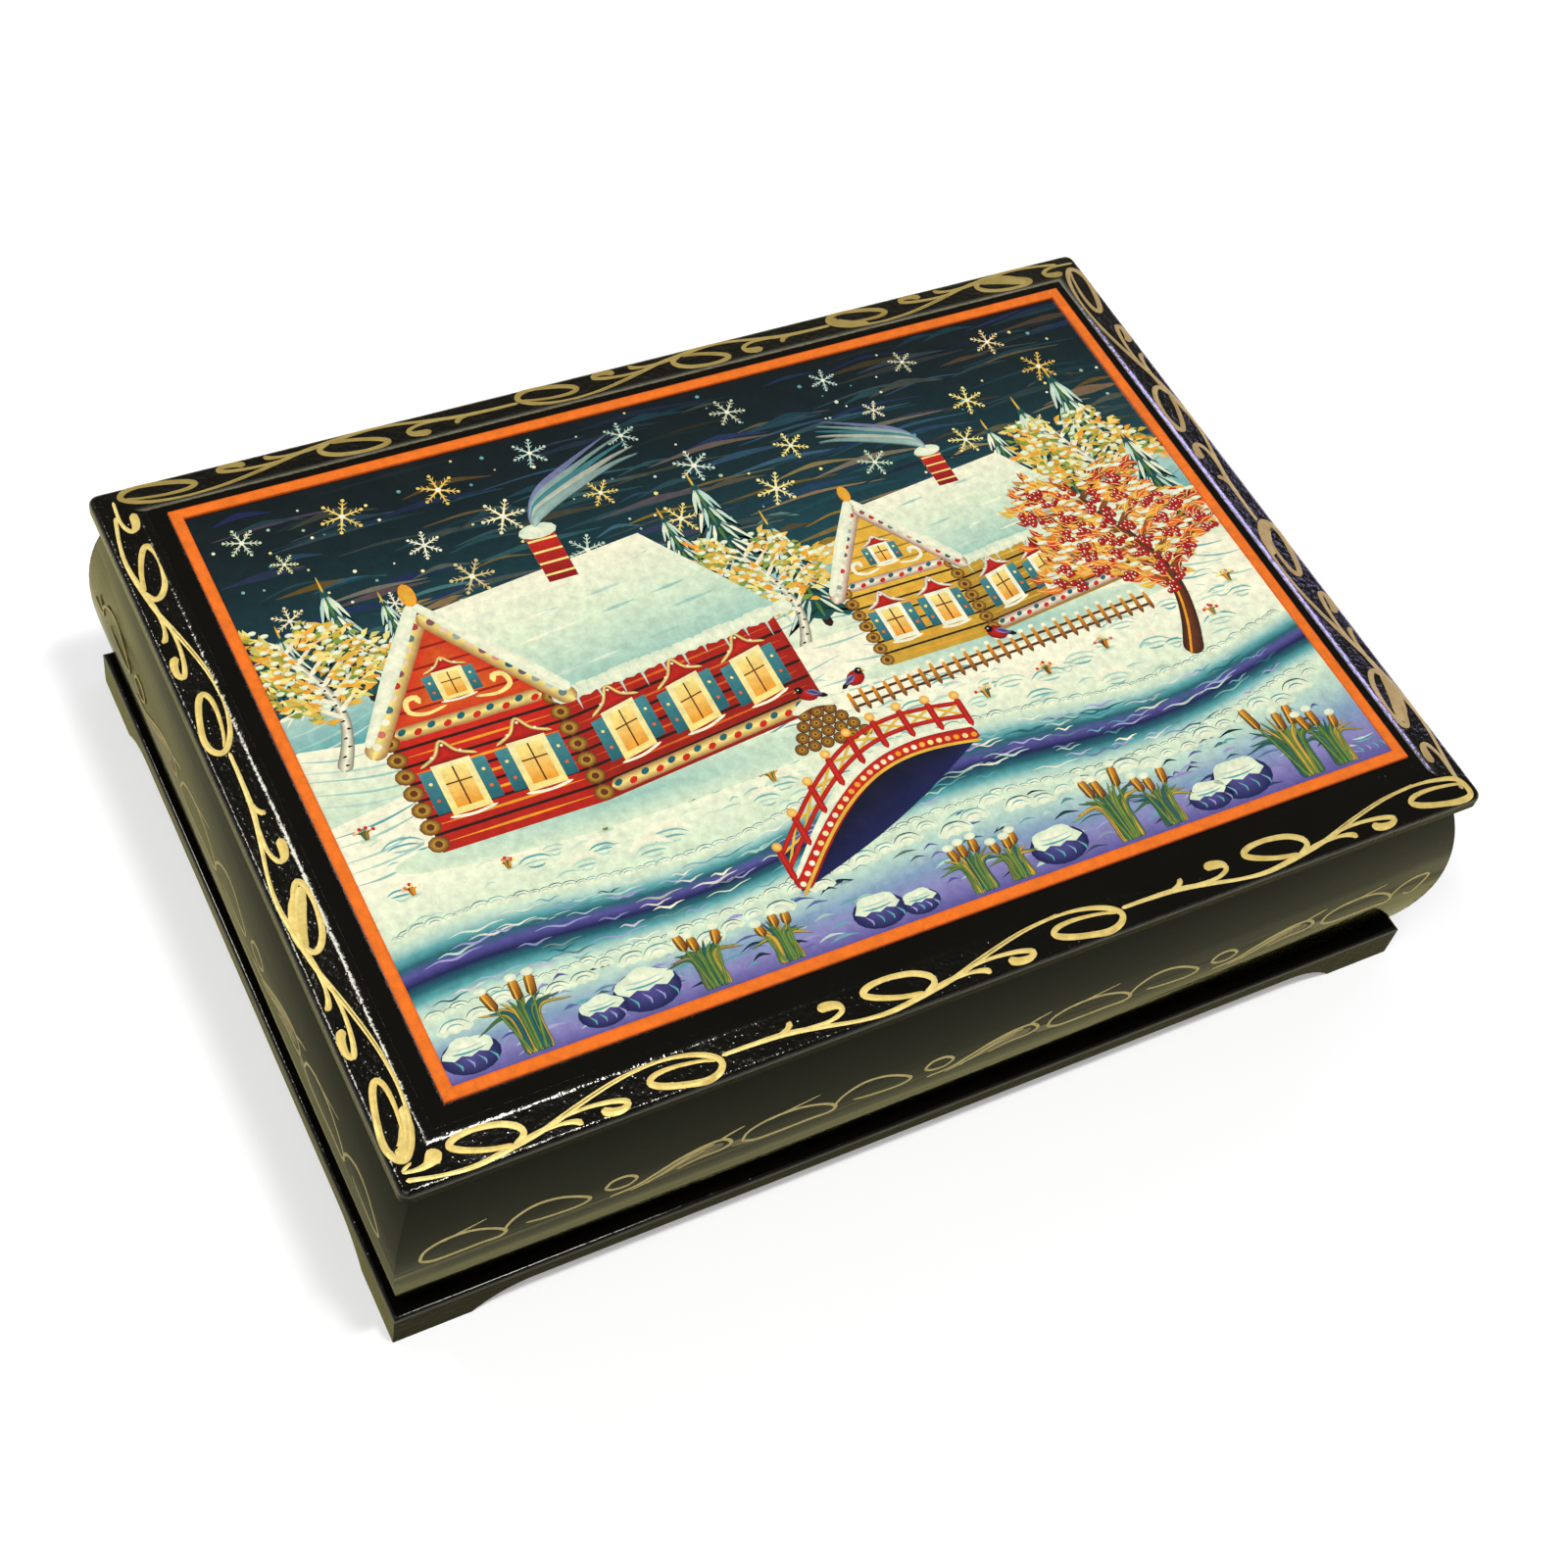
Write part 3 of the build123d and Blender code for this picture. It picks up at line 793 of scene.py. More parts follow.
def across_picture(count, margin=0):
    """Places from the left of the picture to the right."""
    width = 2 * PICTURE_X - 2 * margin
    return [-PICTURE_X + margin + width * k / (count - 1) for k in range(count)]


def pick(*names):
    """One of the named colours, mixed a little towards another of them."""
    return mix(hand.choice(names), hand.choice(names), hand.uniform(0.0, 0.45))


def night_sky(paint):
    """Dark air that pales towards the land, with long brush marks, stars and snowflakes."""
    rows, tints = [], []
    for share in shares(10):
        v = PICTURE_Y - (PICTURE_Y + 2) * share
        rows.append([(u, v) for u in across_picture(17)])
        tints.append(mix("night", "teal", 0.04 + 0.96 * share ** 1.8))
    paint.area(rows, tints, COATS["sky"])
    for _ in range(260):
        u, v = hand.uniform(-PICTURE_X, PICTURE_X - 6), hand.uniform(6, PICTURE_Y - 1)
        depth = 1 - v / PICTURE_Y
        length = hand.uniform(6, 20)
        dark, light = pick("night", "deep_teal", "indigo"), pick("teal", "sea", "gold")
        air = mix(dark, light, depth * hand.uniform(0.1, 0.9))
        bow = (u + length / 2, v + hand.uniform(0.3, 1.1))
        tip = (u + length, v + hand.uniform(-0.3, 0.5))
        widths = [0.1, hand.uniform(0.3, 1.2), 0.1]
        paint.stroke([(u, v), bow, tip], widths, air, COATS["air"] + 3 * hand.random())
    for _ in range(130):
        u, v = hand.uniform(-PICTURE_X + 1, PICTURE_X - 1), hand.uniform(9, PICTURE_Y - 1)
        paint.dot(u, v, hand.uniform(0.12, 0.3), pick("pale_gold", "cream", "sea"), COATS["stars"])
    for row in range(3):
        for column in range(9):
            u = -57 + 13.2 * column + 6 * (row % 2) + hand.uniform(-2, 2)
            v = 36.5 - 7.2 * row + hand.uniform(-1.5, 1.5)
            snowflake(paint, u, v, hand.uniform(1.5, 2.7), COATS["snowflakes"])


def snowflake(paint, u, v, size, coat):
    """Six barbed arms round a dot."""
    tint = pick("pale_gold", "cream", "mist", "gold")
    middle = Vector((u, v))
    turn = hand.uniform(0, math.tau)
    for k in range(6):
        way = Vector((math.cos(turn + math.tau * k / 6), math.sin(turn + math.tau * k / 6)))
        across = Vector((-way.y, way.x))
        tip = middle + way * size
        paint.stroke([middle, tip], [0.12 * size, 0.1 * size, 0.06], tint, coat)
        for share in (0.4, 0.68):
            root = middle + way * size * share
            for barb in (way + across, way - across):
                paint.stroke([root, root + barb * size * 0.2], [0.16, 0.06], tint, coat + 0.3)
        paint.dot(*tip, 0.1 * size, tint, coat + 0.5)
    paint.dot(u, v, 0.16 * size, "cream", coat + 1)


def hill(paint, ridge, foot, tints, coat):
    """Snow below a ridge line, with broken brush lines that follow the ridge."""
    top = [p for p, _ in smooth(ridge, 1.6)]
    rows = [[(p.x, p.y + (foot - p.y) * share) for p in top] for share in shares(len(tints))]
    paint.area(rows, tints, coat)
    paint.stroke(ridge, 0.5, "cream", coat + 0.5)
    for k in range(5):
        start = 0
        while start < len(top) - 4:
            end = min(start + hand.randint(4, 9), len(top) - 1)
            drop = 0.9 + 1.7 * k + hand.uniform(-0.3, 0.3)
            dash = [(p.x, p.y - drop - 0.5 * math.sin(math.pi * j / (end - start)))
                    for j, p in enumerate(top[start:end + 1])]
            paint.stroke(dash, [0.08, 0.34, 0.08], pick("sea", "mist", "snow_shade"), coat + 0.8)
            start = end + hand.randint(0, 3)


def fir(paint, u, v, height, coat):
    """A fir with snow on its tiers."""
    wide = height * 0.34
    paint.stroke([(u, v - height * 0.06), (u, v + height * 0.2)], height * 0.07, "umber", coat)
    for tier in range(5):
        share = tier / 5
        low = v + height * share * 0.86
        half = wide * (1 - share * 0.82)
        outline = [(u, low + height * 0.34)]
        for k in range(9):
            across = -1 + 2 * k / 8
            droop = height * 0.05 * (k % 2 - across * across)
            outline.append((u + half * across, low + droop))
        lift = coat + 0.6 + tier * 0.9
        paint.blob((u, low + height * 0.12), outline, "pine", lift, rim=mix("pine", "teal", 0.5))
        for k in range(5):
            across = -0.85 + 1.7 * k / 4
            tip = (u + half * across, low + height * 0.03 - height * 0.05 * across * across)
            bow = (u + half * across * 0.55, low + height * 0.13)
            tint = "moss" if k == 2 else pick("cream", "mint", "mist")
            paint.stroke([(u + half * across * 0.2, low + height * 0.22), bow, tip],
                         [0.08, height * 0.03, height * 0.012], tint, lift + 0.5)
    paint.stroke([(u, v + height * 0.95), (u, v + height * 1.1)], [0.35, 0.1], "gold", coat + 6)


def window(paint, spot, x, y, wide, tall, trim, coat, slope=0.0):
    """A lit window with a carved head, shutters and snow on the sill."""
    def at(across, up):
        return spot(x + across * wide, y + up * tall + across * wide * slope)

    def panel(left, right, half, lower, upper, lift):
        paint.area([[at(x, up) for x in (left, right)] for up in (-half, half)], [lower, upper], lift)

    for left, right in ((-1.05, -0.62), (0.62, 1.05)):
        panel(left, right, 0.5, "teal", mix("teal", "sea", 0.5), coat)
        for up, tint in ((0.2, "pale_gold"), (-0.2, "orange")):
            paint.dot(*at((left + right) / 2, up), wide * 0.12, tint, coat + 0.5)
    panel(-0.62, 0.62, 0.6, trim, mix(trim, "cream", 0.4), coat + 0.4)
    panel(-0.42, 0.42, 0.46, "amber", "pale_gold", coat + 0.8)
    paint.stroke([at(0, -0.46), at(0, 0.46)], wide * 0.11, "brown", coat + 1.2, blunt=False)
    paint.stroke([at(-0.42, 0.1), at(0.42, 0.1)], wide * 0.11, "brown", coat + 1.3, blunt=False)
    head = [at(-0.9, 0.58), at(0.9, 0.58), at(0.35, 0.8), at(0, 1.08), at(-0.35, 0.8)]
    paint.blob(at(0, 0.75), head, "red", coat + 1.3, rim="crimson")
    crest = [at(-0.9, 0.6), at(-0.35, 0.78), at(0, 1.08), at(0.35, 0.78), at(0.9, 0.6)]
    paint.stroke(crest, wide * 0.24, trim, coat + 1.5, edge="crimson")
    for across, up in ((-0.45, 0.76), (0, 0.98), (0.45, 0.76)):
        paint.dot(*at(across, up), wide * 0.1, "cream", coat + 2)
    paint.stroke([at(-0.75, -0.62), at(0, -0.68), at(0.75, -0.62)], wide * 0.2, "cream", coat + 1.6)


def cottage(paint, u, v, scale, logs, trim, coat, wind):
    """A log cottage seen from a corner: its gable end at the left and its long side at the right."""
    slope = 0.11
    gable, long, eaves, peak = 10.0, 15.0, 8.5, 15.5
    middle = gable / 2
    shade = mix(logs, "umber", 0.55)
    half_shade = mix(shade, logs, 0.5)

    def spot(x, y):
        return (u + x * scale, v + y * scale)

    def side(x, y):
        return spot(x, y + (x - gable) * slope)

    paint.oval(*side(12, -0.4), 15 * scale, 1.5 * scale, "snow_shade", coat - 1, rim="mint", sides=24)
    ends = (gable, gable + long)
    paint.area([[side(x, y) for x in ends] for y in (0, eaves)], [shade, half_shade], coat)
    paint.area([[spot(x, y) for x in (0, gable)] for y in (0, eaves)], [half_shade, logs], coat + 0.5)
    pediment = [spot(0, eaves), spot(gable, eaves), spot(middle, peak)]
    paint.blob(spot(middle, 10.5), pediment, mix(logs, "amber", 0.45), coat + 0.5, rim=logs)
    faces = (side, *ends, mix(logs, "amber", 0.3)), (spot, 0, gable, "amber")
    for k in range(7):
        y = eaves * (k + 1) / 7
        low = y - eaves / 14
        for face, left, right, shine in faces:
            paint.stroke([face(left, y), face(right, y)], 0.2 * scale, "umber", coat + 1.1)
            glint = [face(left + 0.5, low), face(right - 0.5, low)]
            paint.stroke(glint, [0.05, 0.19 * scale, 0.05], shine, coat + 1.1)
        for x in (0, gable):
            end = spot(x, low)
            paint.oval(*end, 0.62 * scale, 0.56 * scale, "gold", coat + 1.8, rim="brown", sides=10)
            paint.dot(*end, 0.24 * scale, "brown", coat + 2)
    for k in range(4):
        y = eaves + 1.2 + 1.35 * k
        half = (peak - y) / (peak - eaves) * middle - 0.3
        paint.stroke([spot(middle - half, y), spot(middle + half, y)], 0.18 * scale, shade, coat + 1.2)
    frieze(paint, spot(0.5, eaves - 0.2), spot(gable - 0.5, eaves - 0.2), scale, trim, coat + 2.2)
    frieze(paint, side(gable + 0.6, 0.7), side(gable + long - 0.3, 0.7), scale, trim, coat + 2.2)
    attic = (middle, eaves + 2.3, 1.5, 1.8)
    for place in ((2.7, 3.9, 1.9, 3.0), (7.3, 3.9, 1.9, 3.0), attic):
        window(paint, spot, *place, trim, coat + 2.4)
    for x in (13.2, 17.6, 22.0):
        window(paint, side, x, 3.9, 1.8, 3.0, trim, coat + 2.4, slope)
    for way in (-1, 1):
        scroll = [(0.9, 0.9), (2.2, 0.7), (3.1, 1.1), (3.0, 1.9), (2.4, 2.0), (2.3, 1.5)]
        scroll = [spot(middle + way * x, eaves + y) for x, y in scroll]
        paint.stroke(scroll, [0.15 * scale, 0.3 * scale, 0.35 * scale, 0.4 * scale], trim, coat + 2)
    low = [side(gable + 0.6, eaves - 0.9), side(gable + long + 0.8, eaves - 0.9)]
    high = [spot(middle, peak + 0.5), spot(middle + long, peak + 0.5 + long * slope)]
    snowy_roof(paint, low, high, scale, coat + 5)
    board = [spot(-1.2, eaves - 1.3), spot(middle, peak + 0.6), spot(gable + 1.2, eaves - 1.3)]
    for a, b in zip(board, board[1:]):
        paint.stroke([a, b], 1.3 * scale, trim, coat + 7, edge="crimson")
        for k in range(1, 12):
            paint.dot(*between(a, b, k / 12), 0.26 * scale, pick("red", "teal", "cream"), coat + 7.5)
        snow = [(x, y + 0.85 * scale) for x, y in (a, between(a, b, 0.5), b)]
        paint.stroke(snow, [0.5 * scale, 1.0 * scale, 0.8 * scale], "cream", coat + 8, edge="mint")
    paint.oval(*spot(middle, peak + 2.2), 0.5 * scale, 0.9 * scale, "gold", coat + 8.5, rim="amber")
    chimney(paint, *between(*high, 0.62), scale, coat + 8, wind)


def snowy_roof(paint, low, high, scale, coat):
    """Snow from the eaves to the ridge, with icicles along the eaves."""
    half_way = [between(a, b, 0.5) for a, b in zip(low, high)]
    paint.area([low, half_way, high], ["snow_shade", "mint", "cream"], coat)
    for k in range(1, 6):
        left, right = (between(a, b, k / 6) for a, b in zip(low, high))
        for _ in range(4):
            first = hand.uniform(0.02, 0.8)
            dash = [between(left, right, first + step) for step in (0, 0.08, 0.16)]
            tint = pick("mist", "snow_shade", "cream")
            paint.stroke(dash, [0.06, 0.26 * scale, 0.06], tint, coat + 0.5)
    for k, share in enumerate(shares(22)):
        x, y = between(*low, share)
        size = hand.uniform(0.55, 0.75) * scale
        paint.oval(x, y, size, size * 0.8, "cream", coat + 1 + k % 2 * 0.4, rim="mint", sides=9)
        if k % 2:
            icicle = [(x, y - size * 0.4), (x, y - size * hand.uniform(1.6, 2.6))]
            paint.stroke(icicle, [0.22 * scale, 0.05], "mist", coat + 0.8)


def frieze(paint, start, end, scale, trim, coat):
    """A carved and painted board: a band with a wave of leaves."""
    paint.stroke([start, end], 0.95 * scale, trim, coat, edge="crimson")
    count = round(math.dist(start, end) / (0.9 * scale))
    for k in range(count):
        x, y = between(start, end, (k + 0.5) / count)
        y += 0.12 * scale * (-1) ** k
        tint = "red" if k % 2 else "teal"
        paint.oval(x, y, 0.3 * scale, 0.2 * scale, tint, coat + 0.4, turn=0.6, sides=8)


def chimney(paint, u, v, scale, coat, wind):
    """Bricks under a cap of snow, and ribbons of smoke."""
    half = 0.95 * scale
    low, high = v - 1.2 * scale, v + 2.8 * scale
    paint.area([[(u - half, y), (u + half, y)] for y in (low, high)], ["crimson", "red"], coat)
    for k in range(4):
        y = low + (high - low) * (k + 0.6) / 4.4
        paint.stroke([(u - half, y), (u + half, y)], 0.16 * scale, "pale_gold", coat + 0.4, blunt=False)
    paint.oval(u, high, half * 1.3, 0.6 * scale, "cream", coat + 1, rim="mint")
    for k in range(5):
        ribbon = []
        for share in shares(9):
            sway = 0.9 * math.sin(share * 7 + k * 0.5) * share
            x = u + wind * scale * (7.5 * share * share + 0.9 * sway + (k - 2) * 0.35 * share)
            ribbon.append((x, high + scale * (0.3 + (5.4 - 0.5 * k) * share + 0.5 * sway)))
        tint = ("lilac", "mist", "sea", "cream", "mist")[k]
        paint.stroke(ribbon, [0.3 * scale, 0.75 * scale, 0.55 * scale, 0.1], tint, coat + 1.4 + k * 0.5,
                     tip=mix(tint, "deep_teal", 0.7), edge=mix(tint, "teal", 0.6))


def fence(paint, start, end, count, coat):
    """Pointed pales with snow on their tips."""
    for drop in (0.9, 2.2):
        paint.stroke([(x, y + drop) for x, y in (start, end)], 0.32, "brown", coat, edge="umber")
    for k, share in enumerate(shares(count)):
        x, y = between(start, end, share)
        tall = 3.2 + 0.25 * math.sin(k * 2.1)
        paint.stroke([(x, y), (x, y + tall)], [0.55, 0.55, 0.4], "brown", coat + 0.5, tip="amber")
        paint.oval(x, y + tall + 0.1, 0.36, 0.3, "cream", coat + 1, sides=7)


def leaf(paint, u, v, length, angle, tint, coat, spine=None):
    """A pointed leaf, which may have a lighter midrib."""
    way = Vector((math.cos(angle), math.sin(angle)))
    base = Vector((u, v))
    bow = base + way * length * 0.5 + Vector((-way.y, way.x)) * length * 0.12
    points = [base, bow, base + way * length]
    paint.stroke(points, [0.06, length * 0.42, 0.05], tint, coat, blunt=False)
    if spine:
        paint.stroke(points, [0.04, 0.12, 0.03], spine, coat + 0.4, blunt=False)


def berries(paint, u, v, size, coat):
    """A hanging bunch of red berries."""
    for k in range(8):
        a = hand.uniform(0, math.tau)
        reach = size * math.sqrt(hand.random())
        x, y = u + reach * math.cos(a), v + reach * 0.8 * math.sin(a)
        lift = coat + k * 0.25
        paint.oval(x, y, size * 0.36, size * 0.36, "red", lift, rim="crimson", sides=9)
        paint.dot(x - size * 0.1, y + size * 0.12, size * 0.1, "cream", lift + 0.2)


def tree(paint, u, v, height, coat, bark, leaves, fruit):
    """A tree that has kept its leaves: a rowan with berries, or a birch with marks on its bark."""
    def stem(share):
        return (u + height * (0.10 * math.sin(share * 4.2) + 0.06 * share), v + height * 0.9 * share)

    trunk = [stem(share) for share in shares(7)]
    widths = [height * width for width in (0.085, 0.06, 0.05, 0.035, 0.006)]
    paint.stroke(trunk, widths, bark, coat, edge="umber")
    if fruit:
        shine = [(x - height * 0.012, y) for x, y in trunk]
        paint.stroke(shine, [0.3, 0.35, 0.2, 0.1], "amber", coat + 0.5)
    for k in range(0 if fruit else 11):
        x, y = stem(0.04 + 0.06 * k)
        reach = height * 0.025 * (-1) ** k
        paint.stroke([(x, y), (x + reach, y - 0.1)], [0.35, 0.12], "black", coat + 0.5)
    for k in range(13):
        share = 0.36 + 0.6 * k / 12
        root = stem(share)
        way = 1 if k % 2 else -1
        reach = height * (0.62 - 0.42 * share) * hand.uniform(0.9, 1.1)
        tip = (root[0] + way * reach, root[1] + reach * hand.uniform(0.1, 0.5))
        bow = (root[0] + way * reach * 0.5, root[1] + reach * 0.4)
        branch = [root, bow, tip]
        paint.stroke(branch, [height * 0.03, height * 0.012, 0.15], bark, coat + 0.3, tip="amber")
        for j, (spot, _) in enumerate(smooth(branch, 1.5)[1:]):
            for _ in range(6 if fruit else 5):
                angle = hand.uniform(-0.6, 0.9) + (0 if way > 0 else math.pi * 0.75)
                length = hand.uniform(0.7, 1.2) * (0.8 + height * 0.042)
                x, y = spot.x + hand.uniform(-1.2, 1.2), spot.y + hand.uniform(-1.2, 1.2)
                spine = "pale_gold" if fruit else None
                leaf(paint, x, y, length, angle, pick(*leaves), coat + 1 + hand.random() * 4, spine)
            if fruit and j % 3 == 0:
                berries(paint, spot.x + hand.uniform(-0.8, 0.8), spot.y - 1.2, 1.15, coat + 6)
            wide = 0.024 * height
            paint.oval(spot.x, spot.y + 1.2, wide, 0.3, "cream", coat + 5.4, rim="mint", sides=9)


def upper_bank(u):
    return -21.5 + 0.05 * u + 1.8 * math.sin(u * 0.10 + 0.7)


def lower_bank(u):
    return upper_bank(u) - 9.0 - 1.2 * math.sin(u * 0.09)


def water_at(u, share):
    """A place between the banks of the stream."""
    return (u, upper_bank(u) + (lower_bank(u) - upper_bank(u)) * share)


def heap(u, v, wide, tall, lumps=0.0):
    """The outline of a heap of snow: rounded above, nearly flat below."""
    outline = []
    for k in range(13):
        a = math.pi * k / 12
        reach = 1 + lumps * math.sin(5 * a + u)
        outline.append((u + wide * reach * math.cos(a), v + tall * reach * math.sin(a)))
    for k in range(1, 6):
        outline.append((u + wide * (-1 + k / 3), v - tall * (0.12 + 0.2 * (k % 2))))
    return outline


def scallop(paint, u, v, size, coat):
    """A small heap of snow with shadow lines in it."""
    wide, tall = size * 1.25, size * 0.85
    paint.blob((u, v + tall * 0.35), heap(u, v, wide, tall), "cream", coat, rim="mint")
    for reach, tint in ((0.9, pick("teal", "sea")), (0.5, pick("sea", "mist"))):
        arc = []
        for a in (0.2, 1.1, 2.0, 2.9):
            arc.append((u + wide * reach * math.cos(a), v + tall * reach * math.sin(a)))
        paint.stroke(arc, [0.05, size * 0.13, 0.05], tint, coat + 0.5)


def stream(paint, coat):
    """Dark water in bands of colour, with light ripples and snow along both banks."""
    bands = ("mint", "mist", "sea", "teal", "indigo", "violet", "teal", "sea", "mist", "mint")
    rows = [[water_at(u, 1 - share) for u in across_picture(49)] for share in shares(len(bands))]
    paint.area(rows, bands, coat)
    for _ in range(170):
        first = hand.uniform(-PICTURE_X + 1, PICTURE_X - 9)
        share = hand.uniform(0.08, 0.92)
        length = hand.uniform(2.5, 7)
        points = []
        for k in range(5):
            u, v = water_at(first + length * k / 4, share)
            points.append((u, v + 0.25 * math.sin(k * 2.2)))
        tint = pick("sea", "mist", "lilac", "teal", "cream")
        paint.stroke(points, [0.06, hand.uniform(0.15, 0.36), 0.06], tint, coat + 0.5 + hand.random())
    for bank, rise in ((upper_bank, 0.2), (lower_bank, -0.2)):
        u = -PICTURE_X + 1.6
        while u < PICTURE_X - 1.6:
            size = hand.uniform(0.7, 1.25)
            scallop(paint, u, bank(u) + rise, size, coat + 2 + 2 * hand.random())
            u += size * 1.5


def footbridge(paint, near_end, far_end, coat):
    """A red arched bridge from the near bank to the far one, with gold rails."""
    def deck(share, rise=0.0):
        x, y = between(near_end, far_end, share)
        return (x, y + 5.6 * math.sin(math.pi * share) + rise)

    steps = shares(13)
    arch = [deck(s, -1.2) for s in steps]
    water = [between(near_end, far_end, s) for s in steps]
    water = [(x, y - 1.6 - 1.2 * math.sin(math.pi * s)) for s, (x, y) in zip(steps, water)]
    paint.area([water, arch], ["indigo", "black"], coat)
    paint.stroke(arch, 2.4, "red", coat + 1, edge="crimson")
    paint.stroke([deck(s, -2.2) for s in steps], 0.4, "gold", coat + 1.5)
    for k in range(27):
        paint.dot(*deck((k + 0.5) / 27, -1.3), 0.38, pick("pale_gold", "amber", "cream"), coat + 1.6)
    paint.stroke([deck(s, 0.1) for s in steps], [0.5, 1.1, 1.1, 0.5], "cream", coat + 2, edge="mint")
    for rise in (1.6, 3.6):
        paint.stroke([deck(s, rise) for s in steps], 0.55, "red", coat + 2.4, edge="crimson")
    posts = 8
    for k in range(posts + 1):
        x, y = deck(k / posts)
        paint.stroke([(x, y), (x, y + 4.4)], 0.8, "red", coat + 3, edge="crimson")
        paint.dot(x, y + 4.8, 0.62, "pale_gold", coat + 3.5, rim="amber")
        if k < posts:
            for low, high in ((1.6, 3.6), (3.6, 1.6)):
                brace = [deck(k / posts, low), deck((k + 1) / posts, high)]
                paint.stroke(brace, 0.3, "gold", coat + 2.2)


def bird(paint, u, v, size, way, coat):
    """A winter bird with a red breast."""
    def at(x, y):
        return (u + way * size * x, v + size * y)

    paint.stroke([at(-0.6, -0.1), at(-1.7, -0.75)], [size * 0.3, size * 0.5], "black", coat)
    paint.oval(u, v, size, size * 0.78, "red", coat + 0.4, rim="crimson", turn=way * 0.5, sides=14)
    wing = [at(0.1, 0.35), at(-0.6, 0), at(-1.3, -0.5)]
    paint.stroke(wing, [size * 0.2, size * 0.7, 0.1], "indigo", coat + 0.8, edge="lilac")
    paint.dot(*at(0.62, 0.62), size * 0.4, "black", coat + 1)
    paint.stroke([at(0.9, 0.6), at(1.25, 0.5)], [size * 0.24, 0.05], "amber", coat + 1.2)
    paint.dot(*at(0.68, 0.7), size * 0.09, "cream", coat + 1.4)


def woodpile(paint, u, v, wide, rows, coat):
    """Stacked logs under snow."""
    size = 0.85
    for row in range(rows):
        for k in range(wide - row):
            x, y = u + (2 * k + row) * size, v + row * size * 1.7
            lift = coat + row * 0.6
            paint.dot(x, y, size, "amber", lift, rim="umber")
            paint.dot(x, y, size * 0.62, "gold", lift + 0.2, rim="brown")
            paint.dot(x, y, size * 0.22, "brown", lift + 0.4)
    top = v + rows * size * 1.7
    left, right = u + (rows - 2.4) * size, u + (2 * wide - rows + 0.4) * size
    snow = [(left, top - 0.9), ((left + right) / 2, top + 0.1), (right, top - 0.9)]
    paint.stroke(snow, [0.8, 1.6, 0.8], "cream", coat + 4, edge="mint")


def blown_snow(paint, u, v, wide, coat):
    """One broad pale arc over thinner ones."""
    for k in range(4):
        half = wide * (1 - 0.2 * k)
        arc = [(u - half, v - 0.25 * k), (u - half * 0.4, v + half * 0.42 - 0.5 * k),
               (u + half * 0.5, v + half * 0.36 - 0.5 * k), (u + half, v - 0.25 * k - 0.2)]
        tint = pick("sea", "mist", "snow_shade") if k else "cream"
        broad = 0.26 if k else wide * 0.34
        paint.stroke(arc, [0.08, broad, broad, 0.08], tint, coat + 0.3 * (4 - k))


def reeds(paint, u, v, tall, coat):
    """Bulrushes: arched blades, and brown heads under caps of snow."""
    for k in range(13):
        lean = -1 + k / 6
        tip = (u + lean * tall * 0.62, v + tall * (1.0 - 0.45 * lean * lean) * hand.uniform(0.75, 1.0))
        bow = (u + lean * tall * 0.2, v + tall * 0.55)
        tint = pick("moss", "leaf", "teal", "gold")
        paint.stroke([(u + lean * 1.4, v), bow, tip], [0.5, 0.62, 0.08], tint, coat + k % 3, edge="pine")
    for k in range(3):
        lean = k - 1 + hand.uniform(-0.25, 0.25)
        foot = (u + lean * 0.7, v)
        top = (u + lean * tall * 0.3, v + tall * hand.uniform(0.95, 1.25))
        paint.stroke([foot, top], [0.4, 0.22], "leaf", coat + 3, edge="pine")
        head = [between(foot, top, share) for share in (0.66, 0.94)]
        paint.stroke(head, 1.15, "brown", coat + 3.5, tip="amber", edge="umber")
        paint.stroke([(x - 0.2, y) for x, y in head], 0.2, "gold", coat + 4)
        paint.oval(*between(foot, top, 0.96), 0.72, 0.48, "cream", coat + 4.5, rim="mint")


def stone(paint, u, v, size, coat):
    """A boulder with a cap of snow."""
    paint.oval(u, v, size * 1.5, size, "violet", coat, rim="indigo", sides=18)
    for k in range(4):
        x = u + size * (-0.9 + 0.6 * k)
        crack = [(x + size * a, v - size * b) for a, b in ((0, 0.1), (0.25, 0.45), (0.2, 0.7))]
        paint.stroke(crack, [0.1, 0.28, 0.06], pick("lilac", "sea"), coat + 0.4)
    cap = heap(u, v + size * 0.2, size * 1.3, size * 0.85, 0.08)
    paint.blob((u, v + size * 0.5), cap, "cream", coat + 1, rim="mint")
    for low, tint in ((0.42, "mist"), (0.18, "sea")):
        shadow = [(u + size * x, v + size * (low + 0.12 * x * x)) for x in (-0.9, -0.3, 0.3, 0.9)]
        paint.stroke(shadow, [0.08, 0.28, 0.2, 0.08], tint, coat + 1.5)


def tuft(paint, u, v, size, coat):
    """Dry grass that stands out of the snow."""
    paint.oval(u, v, size * 0.9, size * 0.25, "snow_shade", coat, rim="mint", sides=14)
    for k in range(7):
        lean = -1 + k / 3
        tip = (u + lean * size * 0.9, v + size * (1.5 - 0.5 * abs(lean)))
        bow = (u + lean * size * 0.3, v + size * 0.8)
        blade = [(u + lean * 0.2, v), bow, tip]
        tint = pick("amber", "brown", "moss")
        paint.stroke(blade, [0.3, 0.24, 0.06], tint, coat + 0.5 + k * 0.2)
        paint.dot(*tip, 0.24, pick("cream", "pale_gold", "red"), coat + 2)


TUFTS = (
    (-56, -18), (-45, -18.5), (-33, -17.6), (-22, -17.4), (-12, -18.4), (18, -16.5), (27, -16),
    (36, -15), (57, -11), (52, -15), (-58, -9.5), (3, -16.2), (40, 1.5), (52, 1),
)


